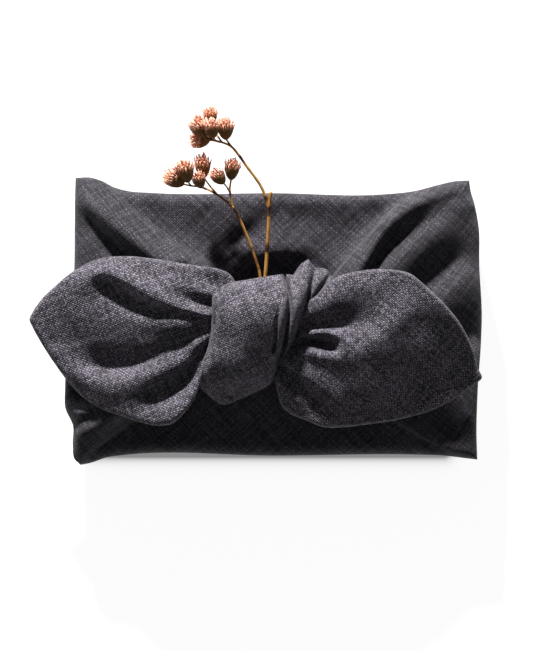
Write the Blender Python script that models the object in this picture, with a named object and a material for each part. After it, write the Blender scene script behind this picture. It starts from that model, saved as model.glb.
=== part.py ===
"""Furoshiki wrap: one square linen cloth tied round a flat packet, a dried flower sprig behind the knot.

The packet lies on its back. +X runs along it, +Y across it and +Z out of its knotted face. The origin is
the middle of the flat underside. Tables of places are in millimetres, and MM turns them into metres.
"""
import math
from collections import namedtuple

import bmesh
import bpy
import numpy as np
from mathutils import Vector

MM = 0.001

# ---------------------------------------------------------------- driving sizes, in millimetres
PACKET_LENGTH = 176.0
PACKET_WIDTH = 114.0
PACKET_DEPTH = 33.5
CROWN = 2.6
EDGE_ROUND = 5.0
BLOCK_SQUARENESS = 12
UNDERSIDE_HUB = (14.0, 9.0)
CLOTH = 1.8
LAYER = 1.1
LAYER_EDGE = 1.6
FOLD_AT_RIM = 0.35
GAP = 0.3
TWIG_NECK = 0.8

# The twisted neck of cloth that carries the knot.
NECK_AT = (-9.0, -5.0)
NECK_RISE = 17.0
NECK_SPREAD = 13.0

# How finely each shape is divided: columns and rows, or stations around and rings above and below.
CURVE_STEPS = 24
FACE_CELLS = (46, 30)
TAIL_CELLS = (20, 22)
KNOT_CELLS = (52, 11, 4)
BUNCH_CELLS = (24, 5, 3)
STALK_SIDES = 6
HEAD_SIDES = 8
SEAM_MERGE = 0.04

# ---------------------------------------------------------------- the packet's outline, (x, y)
# A patch is bounded by four edges. Lower and upper run from left to right, left and right run upwards.
Patch = namedtuple("Patch", "lower upper left right")
FACE = Patch(
    lower=((-87.2, -62.4), (-82.5, -61.4), (-75.5, -59.0), (-69.0, -58.1), (0.0, -58.2),
           (63.0, -57.8), (74.0, -58.2), (83.0, -59.3), (89.0, -60.0)),
    upper=((-89.3, 65.0), (-83.0, 65.2), (-77.5, 63.6), (-72.5, 61.0), (-66.0, 59.2), (-56.0, 58.4),
           (0.0, 58.2), (48.0, 57.8), (62.0, 59.4), (72.0, 62.0), (79.0, 63.5), (85.3, 63.9)),
    left=((-87.2, -62.4), (-89.8, -59.5), (-90.5, -53.0), (-90.2, -45.5), (-93.8, -36.5),
          (-94.0, -27.0), (-91.5, -5.0), (-89.8, 26.0), (-89.6, 50.0), (-89.3, 65.0)),
    right=((89.0, -60.0), (88.6, -47.0), (89.0, -30.0), (91.0, 2.0), (89.8, 24.0),
           (89.4, 44.0), (87.1, 55.0), (85.8, 59.6), (85.3, 63.9)),
)

# The packet's sides, from the face's rim down: share of the height, inset, share of the outline's ears.
SideRing = namedtuple("SideRing", "height inset ears")
SIDE_RINGS = (SideRing(0.80, -0.5, 0.80), SideRing(0.55, -0.4, 0.45), SideRing(0.28, 0.3, 0.20),
              SideRing(0.09, 1.3, 0.05), SideRing(0.00, 3.4, 0.00))

# ---------------------------------------------------------------- folds in the packet's face
# A wing is the cloth drawn from one end of the packet to the knot, lying over both flaps.
Wing = namedtuple("Wing", "upper_edge lower_edge")
WINGS = (
    Wing(upper_edge=((-16.0, 24.0), (-38.0, 29.7), (-48.5, 38.5), (-59.5, 49.6), (-72.0, 62.0)),
         lower_edge=((-88.0, -62.5), (-77.5, -53.5), (-65.0, -42.5), (-34.0, -24.0))),
    Wing(upper_edge=((66.0, 60.0), (48.5, 49.6), (39.2, 38.6), (28.2, 25.3), (21.6, 17.0)),
         lower_edge=((-2.0, -24.0), (51.1, -43.0), (75.3, -55.7), (89.0, -60.5))),
)

# Each fold follows its path; a height below nothing is a trough. Widths are half widths.
Fold = namedtuple("Fold", "name path height_start height_end width_start width_end")
FACE_FOLDS = (
    Fold("left roll", ((-84.0, 60.5), (-66.0, 45.2), (-49.8, 33.3), (-30.0, 22.0)), 2.0, 8.0, 7.0, 8.5),
    Fold("left valley", ((-87.0, 52.5), (-72.0, 37.5), (-55.0, 25.0), (-36.0, 14.0)), -2.6, -3.4, 5.0, 6.0),
    Fold("left pleat", ((-90.0, 20.0), (-66.0, 12.0), (-36.0, 2.0)), 1.4, 4.0, 9.0, 7.0),
    Fold("left hollow", ((-91.0, -28.0), (-72.0, -22.0), (-46.0, -14.0)), -3.2, -2.6, 6.5, 6.0),
    Fold("left tuck", ((-90.0, -38.5), (-76.0, -35.5), (-45.0, -22.0)), 2.2, 4.0, 4.5, 5.0),
    Fold("left crease", ((-90.5, -50.0), (-78.4, -46.5), (-66.0, -38.0), (-42.0, -27.0)),
         -2.6, -1.6, 2.4, 3.0),
    Fold("right roll", ((85.0, 62.5), (66.1, 53.0), (51.1, 43.3), (41.0, 35.0), (26.0, 18.0)),
         1.6, 8.0, 6.5, 7.0),
    Fold("right valley", ((84.0, 53.0), (62.1, 46.0), (48.5, 36.8), (36.0, 22.0)), -1.8, -4.2, 3.2, 3.6),
    Fold("right second roll", ((84.0, 50.0), (62.1, 41.0), (48.0, 31.0), (34.0, 16.0)), 1.6, 5.0, 4.6, 4.6),
    Fold("right second valley", ((88.0, 38.0), (75.0, 33.0), (60.0, 25.0), (36.0, 8.0)),
         -1.8, -2.4, 5.0, 5.0),
    Fold("right pleat", ((90.0, 30.0), (74.0, 21.0), (40.0, 2.0)), 1.8, 3.0, 5.0, 5.5),
    Fold("right low pleat", ((89.0, -40.0), (62.0, -34.0), (20.0, -16.0)), 1.2, 3.6, 7.0, 6.0),
    Fold("top swell", ((14.0, 38.0), (-2.0, 41.0), (-18.0, 33.0)), 1.6, 0.6, 9.0, 7.0),
    Fold("top drag", ((10.0, 56.0), (-6.0, 50.0), (-17.0, 38.0), (-19.0, 27.0)), -0.6, -1.8, 4.0, 3.6),
    Fold("bottom swell", ((-50.0, -50.0), (0.0, -46.0), (50.0, -52.0)), 0.6, 0.6, 9.0, 9.0),
)

# ---------------------------------------------------------------- the knot's front band and its bunch
# A lump is a rounded body of gathered cloth: its outline, its crest and its underside along Y.
Lump = namedtuple("Lump", "name outline middle crest_by_y under_by_y roundness folds")
KNOT = Lump(
    name="knot_form",
    outline=((0.5, 21.8), (-8.0, 20.6), (-15.0, 19.0), (-23.5, 16.4), (-27.8, 11.0), (-28.8, 2.0),
             (-29.2, -5.0), (-31.6, -12.0), (-34.0, -19.0), (-34.6, -25.5), (-30.5, -31.0),
             (-23.7, -35.2), (-16.0, -32.6), (-9.0, -29.2), (-2.2, -24.0), (0.6, -17.6), (5.2, -11.0),
             (8.2, -4.6), (11.0, 2.0), (13.4, 9.0), (13.2, 15.0), (7.0, 20.6)),
    middle=(-11.5, -2.0),
    crest_by_y=((-36.0, 49.0), (-26.0, 57.0), (-8.0, 64.5), (8.0, 67.5), (22.0, 60.0)),
    under_by_y=((-36.0, 41.0), (-20.0, 41.0), (0.0, 42.0), (12.0, 47.5), (22.0, 51.0)),
    roundness=3.0,
    folds=(
        Fold("right pleat", ((8.0, 19.5), (9.3, 12.0), (7.9, 3.0), (5.9, -5.0), (2.6, -13.0)),
             1.2, 0.8, 1.9, 1.6),
        Fold("right groove", ((3.4, 20.0), (5.7, 12.8), (5.5, 5.5), (4.6, -1.5), (3.2, -9.0), (0.2, -17.0)),
             -2.8, -2.2, 1.5, 1.6),
        Fold("inner groove", ((0.8, 9.0), (-0.2, 0.0), (-0.8, -9.0)), -1.2, -0.8, 1.4, 1.4),
        Fold("middle swell", ((-12.0, 17.0), (-12.5, 2.0), (-18.0, -22.0)), 1.2, 1.4, 7.0, 6.5),
        Fold("left groove", ((-24.6, 15.0), (-25.2, 6.0), (-26.4, -4.0)), -1.6, -0.6, 1.6, 1.6),
        Fold("tip dimple", ((-15.5, -24.0), (-19.0, -29.0)), -0.8, -1.6, 2.2, 2.0),
    ),
)
BUNCH = Lump(
    name="bunch_form",
    outline=((13.0, 28.2), (9.5, 25.0), (6.0, 20.0), (4.0, 12.0), (6.0, 4.0), (13.0, 4.0),
             (20.0, 9.0), (24.0, 15.0), (23.0, 21.0), (18.5, 25.2)),
    middle=(13.0, 15.0),
    crest_by_y=((4.0, 54.0), (16.0, 58.5), (28.0, 55.0)),
    under_by_y=((4.0, 38.0), (18.0, 39.0), (28.0, 45.0)),
    roundness=2.4,
    folds=(
        Fold("first cleft", ((15.6, 28.0), (14.0, 18.0), (11.0, 8.0)), -2.6, -2.0, 1.7, 2.0),
        Fold("second cleft", ((21.5, 22.0), (18.5, 15.0), (14.0, 7.0)), -2.4, -2.0, 1.7, 2.0),
    ),
)

# ---------------------------------------------------------------- the two free corners of the cloth
# A tail is a sheet over its outline. Its height is blended between its fold lines, each (x, y, z).
FoldLine = namedtuple("FoldLine", "name path")
Tail = namedtuple("Tail", "name patch rim_round lines")
LEFT_TAIL = Tail(
    name="tail_left_form",
    patch=Patch(
        lower=((-103.0, -15.6), (-92.6, -27.9), (-82.1, -35.3), (-71.0, -41.0), (-59.2, -43.8),
               (-47.4, -43.9), (-40.4, -37.9), (-35.1, -29.2), (-28.0, -17.0), (-20.0, -8.0)),
        upper=((-105.4, 12.0), (-90.0, 24.0), (-79.0, 28.6), (-60.0, 29.0), (-38.0, 25.8), (-18.0, 15.0)),
        left=((-103.0, -15.6), (-107.4, -6.0), (-108.8, 2.4), (-105.4, 12.0)),
        right=((-20.0, -8.0), (-18.0, 15.0)),
    ),
    rim_round=2.6,
    lines=(
        FoldLine("upper roll", ((-18.0, 11.0, 57.0), (-38.0, 21.5, 62.0), (-60.0, 24.6, 62.5),
                                (-80.0, 23.0, 58.0), (-98.0, 11.0, 51.0))),
        FoldLine("high hollow", ((-20.0, 6.5, 53.5), (-40.0, 7.0, 50.0), (-62.0, 12.5, 49.5),
                                 (-76.0, 18.0, 52.5))),
        FoldLine("middle ridge", ((-20.0, 2.0, 56.0), (-42.0, 2.2, 57.0), (-62.0, 4.0, 54.5),
                                  (-84.0, 7.0, 52.0), (-103.0, 3.0, 49.0))),
        FoldLine("great hollow", ((-22.0, -1.5, 51.0), (-40.0, -5.5, 46.5), (-66.0, -9.5, 44.5),
                                  (-90.0, -7.0, 46.5))),
        FoldLine("low ridge", ((-22.0, -5.0, 53.0), (-45.0, -13.0, 55.0), (-67.0, -20.5, 56.0),
                               (-88.0, -19.0, 53.0), (-101.0, -7.0, 49.0))),
        FoldLine("low valley", ((-28.0, -9.0, 49.0), (-42.0, -20.0, 44.5), (-58.0, -31.5, 45.0),
                                (-76.0, -32.5, 46.0))),
        FoldLine("lower rim", ((-30.0, -14.0, 51.0), (-38.5, -27.0, 52.5), (-47.0, -38.5, 52.0),
                               (-60.0, -40.5, 50.0), (-78.0, -34.0, 48.0))),
    ),
)
RIGHT_TAIL = Tail(
    name="tail_right_form",
    patch=Patch(
        lower=((-5.0, -15.0), (-1.0, -24.0), (1.6, -33.0), (11.4, -42.4), (24.6, -45.6), (48.2, -42.4),
               (67.2, -38.0), (82.2, -29.9), (88.2, -27.0)),
        upper=((4.0, 6.0), (10.0, 10.5), (18.7, 15.5), (27.9, 19.8), (36.0, 23.0), (46.0, 24.0),
               (56.0, 23.2), (67.1, 15.6), (75.0, 7.7), (82.0, -4.6), (88.7, -19.1)),
        left=((-5.0, -15.0), (4.0, 6.0)),
        right=((88.2, -27.0), (90.3, -23.6), (88.7, -19.1)),
    ),
    rim_round=2.2,
    lines=(
        FoldLine("upper roll", ((4.0, 4.5, 56.0), (19.0, 11.5, 59.0), (36.0, 18.0, 56.0),
                                (54.0, 19.0, 50.5), (66.0, 12.0, 47.0))),
        FoldLine("high valley", ((4.0, 0.8, 53.5), (20.0, 3.8, 51.5), (36.0, 7.5, 52.5))),
        FoldLine("upper lip", ((4.0, -3.0, 55.0), (18.0, -2.2, 58.5), (33.0, -2.5, 55.5),
                               (58.0, -1.0, 51.5), (78.0, -8.0, 46.0))),
        FoldLine("pocket", ((3.0, -6.5, 50.5), (19.0, -7.0, 45.5), (27.0, -8.5, 49.0))),
        FoldLine("lower lip", ((3.0, -9.5, 52.0), (18.0, -12.8, 57.0), (33.0, -14.0, 55.5),
                               (60.0, -16.0, 51.0), (82.0, -21.0, 44.5))),
        FoldLine("low valley", ((0.0, -15.0, 49.0), (10.0, -26.0, 44.5), (24.0, -35.0, 45.5))),
        FoldLine("lower rim", ((-1.0, -20.0, 49.0), (6.0, -35.0, 47.5), (24.0, -42.0, 45.5),
                               (48.0, -38.5, 44.5), (68.0, -33.0, 44.0), (84.0, -26.0, 42.5))),
    ),
)
LINE_SOFTNESS = 1.6
LINE_FOCUS = 2.6

# ---------------------------------------------------------------- the sprig, (x, y, z)
# A stalk tapers along its path, and one that bears a head ends just short of the head's base. The first
# stalk of each stem is the main one, and the rest grow from it. Its foot rests on the neck, under the knot.
Stalk = namedtuple("Stalk", "path radius_start radius_end head")
STEMS = {
    "stem_right": (
        Stalk(((-7.5, 8.3, 43.75), (-7.2, 13.0, 45.1), (-6.4, 20.6, 46.4), (-5.3, 32.3, 49.2),
               (-4.2, 43.2, 52.3), (-3.6, 52.4, 54.8), (-2.8, 56.4, 56.2)), 0.80, 0.70, None),
        Stalk(((-3.8, 51.2, 54.4), (-6.2, 58.6, 56.6), (-13.7, 69.5, 60.4), (-17.1, 74.2, 61.9),
               (-19.9, 77.3, 63.1), (-23.6, 79.0, 63.9), (-27.0, 79.8, 64.4)), 0.70, 0.45, 2),
        Stalk(((-18.4, 75.9, 62.5), (-20.6, 78.4, 63.4)), 0.45, 0.40, 4),
        Stalk(((-25.4, 79.4, 64.2), (-26.8, 80.0, 66.0)), 0.42, 0.38, 3),
        Stalk(((-23.8, 79.0, 63.9), (-26.4, 82.6, 63.5)), 0.42, 0.38, 1),
        Stalk(((-25.2, 79.3, 64.0), (-27.4, 80.0, 61.4)), 0.42, 0.38, 11),
    ),
    "stem_left": (
        Stalk(((-9.7, 8.3, 43.95), (-9.8, 13.0, 45.1), (-10.0, 20.6, 46.5), (-11.6, 30.6, 49.3),
               (-14.6, 40.2, 52.4), (-17.8, 48.8, 55.4), (-19.4, 51.6, 56.5)), 0.65, 0.55, None),
        Stalk(((-19.2, 51.2, 56.2), (-22.6, 54.2, 57.3), (-26.2, 56.7, 58.4), (-29.8, 58.6, 59.1),
               (-33.6, 59.9, 59.6), (-37.0, 60.2, 59.7)), 0.50, 0.38, 5),
        Stalk(((-19.3, 50.8, 56.1), (-20.2, 55.6, 57.6), (-20.6, 58.6, 58.2)), 0.48, 0.38, 9),
        Stalk(((-20.4, 57.2, 57.9), (-21.6, 59.4, 60.0)), 0.40, 0.36, 8),
        Stalk(((-26.0, 56.6, 58.4), (-29.0, 60.0, 58.4)), 0.42, 0.36, 7),
        Stalk(((-35.2, 60.1, 59.7), (-37.2, 60.3, 62.1)), 0.40, 0.36, 6),
        Stalk(((-31.1, 58.9, 59.1), (-32.3, 59.4, 60.6)), 0.40, 0.36, 10),
    ),
}

# Each head is a small round bundle of scales: its middle, its width and length, and the way it faces.
Head = namedtuple("Head", "x y z width length lean")
HEADS = (
    Head(-29.0, 90.1, 64.3, 5.2, 7.0, 95.0),
    Head(-33.3, 84.9, 66.5, 6.6, 8.0, 120.0),
    Head(-28.3, 84.2, 69.6, 4.8, 6.8, 100.0),
    Head(-22.4, 84.4, 65.7, 6.2, 8.4, 92.0),
    Head(-44.2, 62.9, 60.6, 6.4, 8.4, 150.0),
    Head(-39.7, 65.9, 66.9, 6.4, 9.2, 105.0),
    Head(-32.3, 68.4, 60.4, 6.0, 9.4, 95.0),
    Head(-25.2, 63.8, 63.3, 5.8, 6.4, 130.0),
    Head(-19.7, 67.1, 60.6, 6.0, 8.4, 85.0),
    Head(-33.8, 62.2, 63.4, 3.6, 4.8, 110.0),
    Head(-33.0, 80.3, 60.6, 5.6, 6.2, 180.0),
)


# A head's goblet shape from base to tip: its radius as a share of the width, its place along the length.
ProfilePoint = namedtuple("ProfilePoint", "radius along")
HEAD_PROFILE = (ProfilePoint(0.16, -0.50), ProfilePoint(0.36, -0.42), ProfilePoint(0.49, -0.18),
                ProfilePoint(0.50, 0.12), ProfilePoint(0.42, 0.38), ProfilePoint(0.22, 0.49))


# ---------------------------------------------------------------- smooth curves and folds
def hermite(stations, values, share):
    """Read a smooth curve that passes through the values at the stations."""
    stations = np.asarray(stations, float)
    values = np.asarray(values, float).reshape(len(stations), -1)
    slopes = np.gradient(values, stations, axis=0)
    share = np.clip(np.asarray(share, float), stations[0], stations[-1])
    low = np.clip(np.searchsorted(stations, share, side="right") - 1, 0, len(stations) - 2)
    span = (stations[low + 1] - stations[low])[..., None]
    t = (share - stations[low])[..., None] / span
    rise = t * t * (3 - 2 * t)
    return ((1 - rise) * values[low] + rise * values[low + 1]
            + span * t * (1 - t) * ((1 - t) * slopes[low] - t * slopes[low + 1]))


def curve(points, share):
    """Read the smooth curve through the points at a share of its length."""
    points = np.asarray(points, float)
    reach = np.concatenate([[0.0], np.cumsum(np.linalg.norm(np.diff(points, axis=0), axis=1))])
    return hermite(reach / reach[-1], points, share)


def beside(line, x, y):
    """For each place, its share along a line of points and its distance to the line's left side."""
    step = np.diff(line, axis=0)
    away_x = x[..., None] - line[:-1, 0]
    away_y = y[..., None] - line[:-1, 1]
    part = np.clip((away_x * step[:, 0] + away_y * step[:, 1]) / (step ** 2).sum(axis=1), 0.0, 1.0)
    gap = np.hypot(away_x - part * step[:, 0], away_y - part * step[:, 1])
    nearest = gap.argmin(axis=-1)[..., None]
    side = np.take_along_axis(step[:, 0] * away_y - step[:, 1] * away_x, nearest, -1)[..., 0]
    share = (nearest + np.take_along_axis(part, nearest, -1))[..., 0] / len(step)
    return share, np.take_along_axis(gap, nearest, -1)[..., 0] * np.where(side < 0, -1.0, 1.0)


def fold_height(fold, x, y):
    """The soft ridge, or trough, that a fold adds at each place."""
    share, off = beside(curve(fold.path, np.linspace(0, 1, CURVE_STEPS)), x, y)
    height = fold.height_start + (fold.height_end - fold.height_start) * share
    width = fold.width_start + (fold.width_end - fold.width_start) * share
    return height * np.exp(-(off / width) ** 2)


def wing_cover(wing, x, y):
    """1 where a wing's cloth lies, and 0 past its two edges."""
    cover = 1.0
    for edge in wing:
        inside = beside(curve(edge, np.linspace(0, 1, CURVE_STEPS)), x, y)[1]
        cover = cover * 0.5 * (1 + np.tanh(inside / LAYER_EDGE))
    return cover


def face_height(x, y):
    """The packet's face: its crown, the wings' layers, their folds, and the neck under the knot."""
    height = CROWN * (1 - (2 * x / PACKET_LENGTH) ** 2) * (1 - (2 * y / PACKET_WIDTH) ** 2)
    height = PACKET_DEPTH + np.clip(height, -0.5, CROWN)
    for wing in WINGS:
        height = height + LAYER * wing_cover(wing, x, y)
    for fold in FACE_FOLDS:
        height = height + fold_height(fold, x, y)
    reach = np.hypot(x - NECK_AT[0], y - NECK_AT[1])
    return height + NECK_RISE * np.exp(-(reach / NECK_SPREAD) ** 4)


# ---------------------------------------------------------------- building closed meshes
def add_object(name, verts, faces, material):
    mesh = bpy.data.meshes.new(name)
    mesh.from_pydata([tuple(MM * float(value) for value in vert) for vert in verts], [], faces)
    mesh.materials.append(material)
    mesh.update()
    thing = bpy.data.objects.new(name, mesh)
    bpy.context.scene.collection.objects.link(thing)
    return thing


def grid_faces(rows, columns):
    """Triangles of a grid stored row by row, each square cut towards its nearest corner of the grid."""
    faces = []
    for r in range(rows - 1):
        for c in range(columns - 1):
            a = r * columns + c
            square = (a, a + 1, a + columns + 1, a + columns)
            if (r < rows / 2) != (c < columns / 2):
                square = square[1:] + square[:1]
            faces.extend([square[:3], (square[0], square[2], square[3])])
    return faces


def edge_shares(length, count):
    """Shares along a side, closer together near both ends so that the rounded rim is smooth."""
    rim = np.array([0.0, 0.9, 2.4]) / length
    inner = np.linspace(EDGE_ROUND / length, 1 - EDGE_ROUND / length, count)
    return np.concatenate([rim, inner, 1 - rim[::-1]])


def coons(patch, s, t):
    """The place at share s along a patch and t across it, drawn in from its four edges."""
    lower, upper = curve(patch.lower, s), curve(patch.upper, s)
    left, right = curve(patch.left, t), curve(patch.right, t)
    s, t = s[..., None], t[..., None]
    corners = ((1 - s) * (1 - t) * np.array(patch.lower[0]) + s * (1 - t) * np.array(patch.lower[-1])
               + (1 - s) * t * np.array(patch.upper[0]) + s * t * np.array(patch.upper[-1]))
    return (1 - t) * lower + t * upper + (1 - s) * left + s * right - corners


def rim_of(high, wide):
    """Rows and columns of a grid's rim, counter-clockwise from its first corner."""
    return ([(0, c) for c in range(wide - 1)] + [(r, wide - 1) for r in range(high - 1)]
            + [(high - 1, c) for c in range(wide - 1, 0, -1)] + [(r, 0) for r in range(high - 1, 0, -1)])


def inset_from_rim(place, rim):
    """How far each place lies inside the rim."""
    outline = np.array([place[r, c] for r, c in rim + rim[:1]])
    return np.abs(beside(outline, place[..., 0], place[..., 1])[1])


def packet_mesh(columns, rows):
    """The filled packet: its face, its rounded sides and its flat underside."""
    s, t = np.meshgrid(edge_shares(PACKET_LENGTH, columns), edge_shares(PACKET_WIDTH, rows))
    place = coons(FACE, s, t)
    high, wide = s.shape
    rim = rim_of(high, wide)
    short = np.clip(EDGE_ROUND - inset_from_rim(place, rim), 0, EDGE_ROUND)
    height = face_height(place[..., 0], place[..., 1]) - EDGE_ROUND + np.sqrt(EDGE_ROUND ** 2 - short ** 2)
    verts = [(*place[r, c], height[r, c]) for r in range(high) for c in range(wide)]
    faces = grid_faces(high, wide)
    ring = [r * wide + c for r, c in rim]
    for level in SIDE_RINGS:
        start = len(verts)
        for r, c in rim:
            along, across = 2 * s[r, c] - 1, 2 * t[r, c] - 1
            reach = abs(along) ** BLOCK_SQUARENESS + abs(across) ** BLOCK_SQUARENESS
            shrink = reach ** (-1 / BLOCK_SQUARENESS)
            block = np.array([along * (PACKET_LENGTH / 2 - level.inset) * shrink,
                              across * (PACKET_WIDTH / 2 - level.inset) * shrink])
            spot = block + level.ears * (place[r, c] - block)
            verts.append((*spot, level.height * height[r, c]))
        lower = list(range(start, len(verts)))
        for k in range(len(rim)):
            after = (k + 1) % len(rim)
            faces.append((ring[k], lower[k], lower[after], ring[after]))
        ring = lower
    hub = len(verts)
    verts.append((*UNDERSIDE_HUB, 0.0))
    for here, after in zip(ring, ring[1:] + ring[:1]):
        faces.append((here, hub, after))
    return verts, faces


def lump_mesh(lump, around, upper_rings, lower_rings):
    """A rounded body over an outline, its crest and underside following the lump's own lines."""
    closed = lump.outline + lump.outline[:1]
    rim = curve(closed, np.linspace(0, 1, around, endpoint=False))
    middle = np.array(lump.middle)

    def ring_at(share, upper):
        place = middle + share * (rim - middle)
        crest = hermite(*zip(*lump.crest_by_y), place[:, 1])[:, 0]
        under = hermite(*zip(*lump.under_by_y), place[:, 1])[:, 0]
        waist = (crest + under) / 2
        dome = (1 - share ** lump.roundness) ** (1 / lump.roundness)
        if not upper:
            return [(*spot, z) for spot, z in zip(place, waist - (waist - under) * dome)]
        folds = sum(fold_height(fold, place[:, 0], place[:, 1]) for fold in lump.folds)
        height = waist + (crest - waist) * dome + folds * min(1.0, FOLD_AT_RIM + dome)
        return [(*spot, z) for spot, z in zip(place, height)]

    crest_reach = np.sin(np.linspace(0, math.pi / 2, upper_rings + 1))[1:]
    under_reach = np.sin(np.linspace(0, math.pi / 2, lower_rings + 1))[1:-1]
    verts = [ring_at(0.0, True)[0], ring_at(0.0, False)[0]]
    upper_loops, lower_loops = [], []
    for loops, reach, upper in ((upper_loops, crest_reach, True), (lower_loops, under_reach, False)):
        for share in reach:
            loops.append(range(len(verts), len(verts) + around))
            verts.extend(ring_at(share, upper))
    lower_loops.append(upper_loops[-1])

    faces = []
    for k in range(around):
        after = (k + 1) % around
        faces.append((0, upper_loops[0][k], upper_loops[0][after]))
        faces.append((1, lower_loops[0][after], lower_loops[0][k]))
        for inner, outer in zip(upper_loops, upper_loops[1:]):
            faces.append((inner[k], outer[k], outer[after], inner[after]))
        for inner, outer in zip(lower_loops, lower_loops[1:]):
            faces.append((inner[after], outer[after], outer[k], inner[k]))
    return verts, faces


def tail_height(tail, x, y):
    """Blend the heights of a tail's fold lines, the nearer the stronger."""
    total = weights = 0.0
    for line in tail.lines:
        path = curve(line.path, np.linspace(0, 1, CURVE_STEPS))
        share, off = beside(path[:, :2], x, y)
        weight = (off ** 2 + LINE_SOFTNESS ** 2) ** (-LINE_FOCUS / 2)
        total = total + weight * np.interp(share, np.linspace(0, 1, len(path)), path[:, 2])
        weights = weights + weight
    return total / weights


def tail_mesh(tail, columns, rows):
    """One sheet over the tail's patch, its rim rounded down, its underside one cloth lower."""
    s, t = np.meshgrid(np.linspace(0, 1, columns), np.linspace(0, 1, rows))
    rim = rim_of(rows, columns)
    outer = coons(tail.patch, s, t)
    long, tall = np.ptp(outer[..., 0]), np.ptp(outer[..., 1])
    verts, faces = [], []
    for thick in (0.0, CLOTH):
        margin_s, margin_t = thick / long, thick / tall
        place = coons(tail.patch, margin_s + s * (1 - 2 * margin_s), margin_t + t * (1 - 2 * margin_t))
        inset = thick + inset_from_rim(place, rim)
        bend = tail.rim_round - thick
        short = np.clip(tail.rim_round - inset, 0, bend)
        height = tail_height(tail, place[..., 0], place[..., 1]) - tail.rim_round
        height = height + np.sqrt(bend ** 2 - short ** 2)
        verts.extend((*place[r, c], height[r, c]) for r in range(rows) for c in range(columns))
    under = rows * columns
    for a, b, c in grid_faces(rows, columns):
        faces.extend([(a, b, c), (c + under, b + under, a + under)])
    ring = [r * columns + c for r, c in rim]
    for here, after in zip(ring, ring[1:] + ring[:1]):
        faces.append((here, here + under, after + under, after))
    return verts, faces


def make_material(name, color, roughness):
    material = bpy.data.materials.new(name)
    material.use_nodes = True
    shader = material.node_tree.nodes["Principled BSDF"]
    shader.inputs["Base Color"].default_value = (*color, 1.0)
    shader.inputs["Roughness"].default_value = roughness
    shader.inputs["Metallic"].default_value = 0.0
    return material


def join_form(body, form):
    """Fuse a hidden form into the body."""
    form.hide_render = True
    form.display_type = "WIRE"
    union = body.modifiers.new("with " + form.name, "BOOLEAN")
    union.operation = "UNION"
    union.solver = "EXACT"
    union.object = form


def weld_seams(body):
    """Merge the hair-thin slivers that the unions leave along their seams."""
    weld = body.modifiers.new("seams", "WELD")
    weld.merge_threshold = SEAM_MERGE * MM


def build_wrap(cloth):
    """The cloth as one body: the filled packet, the knot, the bunch behind it and both tails."""
    wrap = add_object("wrap", *packet_mesh(*FACE_CELLS), cloth)
    join_form(wrap, add_object(BUNCH.name, *lump_mesh(BUNCH, *BUNCH_CELLS), cloth))
    for tail in (LEFT_TAIL, RIGHT_TAIL):
        join_form(wrap, add_object(tail.name, *tail_mesh(tail, *TAIL_CELLS), cloth))
    join_form(wrap, add_object(KNOT.name, *lump_mesh(KNOT, *KNOT_CELLS), cloth))
    weld_seams(wrap)


def facing(head):
    """The way a head points: its lean in the picture of its face, tipped a little up."""
    lean = math.radians(head.lean)
    return Vector((math.cos(lean), math.sin(lean), 0.25)).normalized()


def stalk_mesh(stalk):
    """A tapered stalk with a closed end at each side."""
    sides = STALK_SIDES
    points = list(stalk.path)
    if stalk.head:
        head = HEADS[stalk.head - 1]
        base = Vector((head.x, head.y, head.z)) - facing(head) * (head.length / 2 + GAP)
        points += [tuple(base - facing(head) * TWIG_NECK), tuple(base)]
    path = [Vector(point) for point in curve(points, np.linspace(0, 1, 3 * len(points) - 2))]
    verts, faces = [], []
    for k, point in enumerate(path):
        ahead = (path[min(k + 1, len(path) - 1)] - path[max(k - 1, 0)]).normalized()
        across = ahead.cross(Vector((0, 0, 1))).normalized()
        up = across.cross(ahead)
        radius = stalk.radius_start + (stalk.radius_end - stalk.radius_start) * k / (len(path) - 1)
        for side in range(sides):
            angle = 2 * math.pi * side / sides
            verts.append(point + radius * (across * math.cos(angle) + up * math.sin(angle)))
    for k in range(len(path) - 1):
        for side in range(sides):
            after = (side + 1) % sides
            faces.append((k * sides + side, (k + 1) * sides + side,
                          (k + 1) * sides + after, k * sides + after))
    faces.append(tuple(range(sides)))
    faces.append(tuple(reversed(range(len(verts) - sides, len(verts)))))
    return verts, faces


def build_stem(name, stalks, bark):
    """A stem is its main stalk with the branches fused to it."""
    stem = add_object(name, *stalk_mesh(stalks[0]), bark)
    for number, stalk in enumerate(stalks[1:], 1):
        join_form(stem, add_object(f"{name}_branch_{number}", *stalk_mesh(stalk), bark))
    weld_seams(stem)


def build_head(number, head, petals):
    """A flower head: a goblet of scales turned about the way it faces."""
    sides = HEAD_SIDES
    ahead = facing(head)
    across = ahead.cross(Vector((0, 0, 1))).normalized()
    up = across.cross(ahead)
    middle = Vector((head.x, head.y, head.z))
    verts, faces = [], []
    for ring, (radius, along) in enumerate(HEAD_PROFILE):
        for side in range(sides):
            angle = 2 * math.pi * (side + 0.5 * (ring % 2)) / sides
            spread = head.width * radius * (across * math.cos(angle) + up * math.sin(angle))
            verts.append(middle + ahead * head.length * along + spread)
    for ring in range(len(HEAD_PROFILE) - 1):
        for side in range(sides):
            after = (side + 1) % sides
            a, b = ring * sides + side, ring * sides + after
            if ring % 2:
                faces.extend([(a, a + sides, b + sides), (a, b + sides, b)])
            else:
                faces.extend([(a, a + sides, b), (b, a + sides, b + sides)])
    faces.append(tuple(range(sides)))
    faces.append(tuple(reversed(range(len(verts) - sides, len(verts)))))
    return add_object(f"flower_head_{number}", verts, faces, petals)


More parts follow.
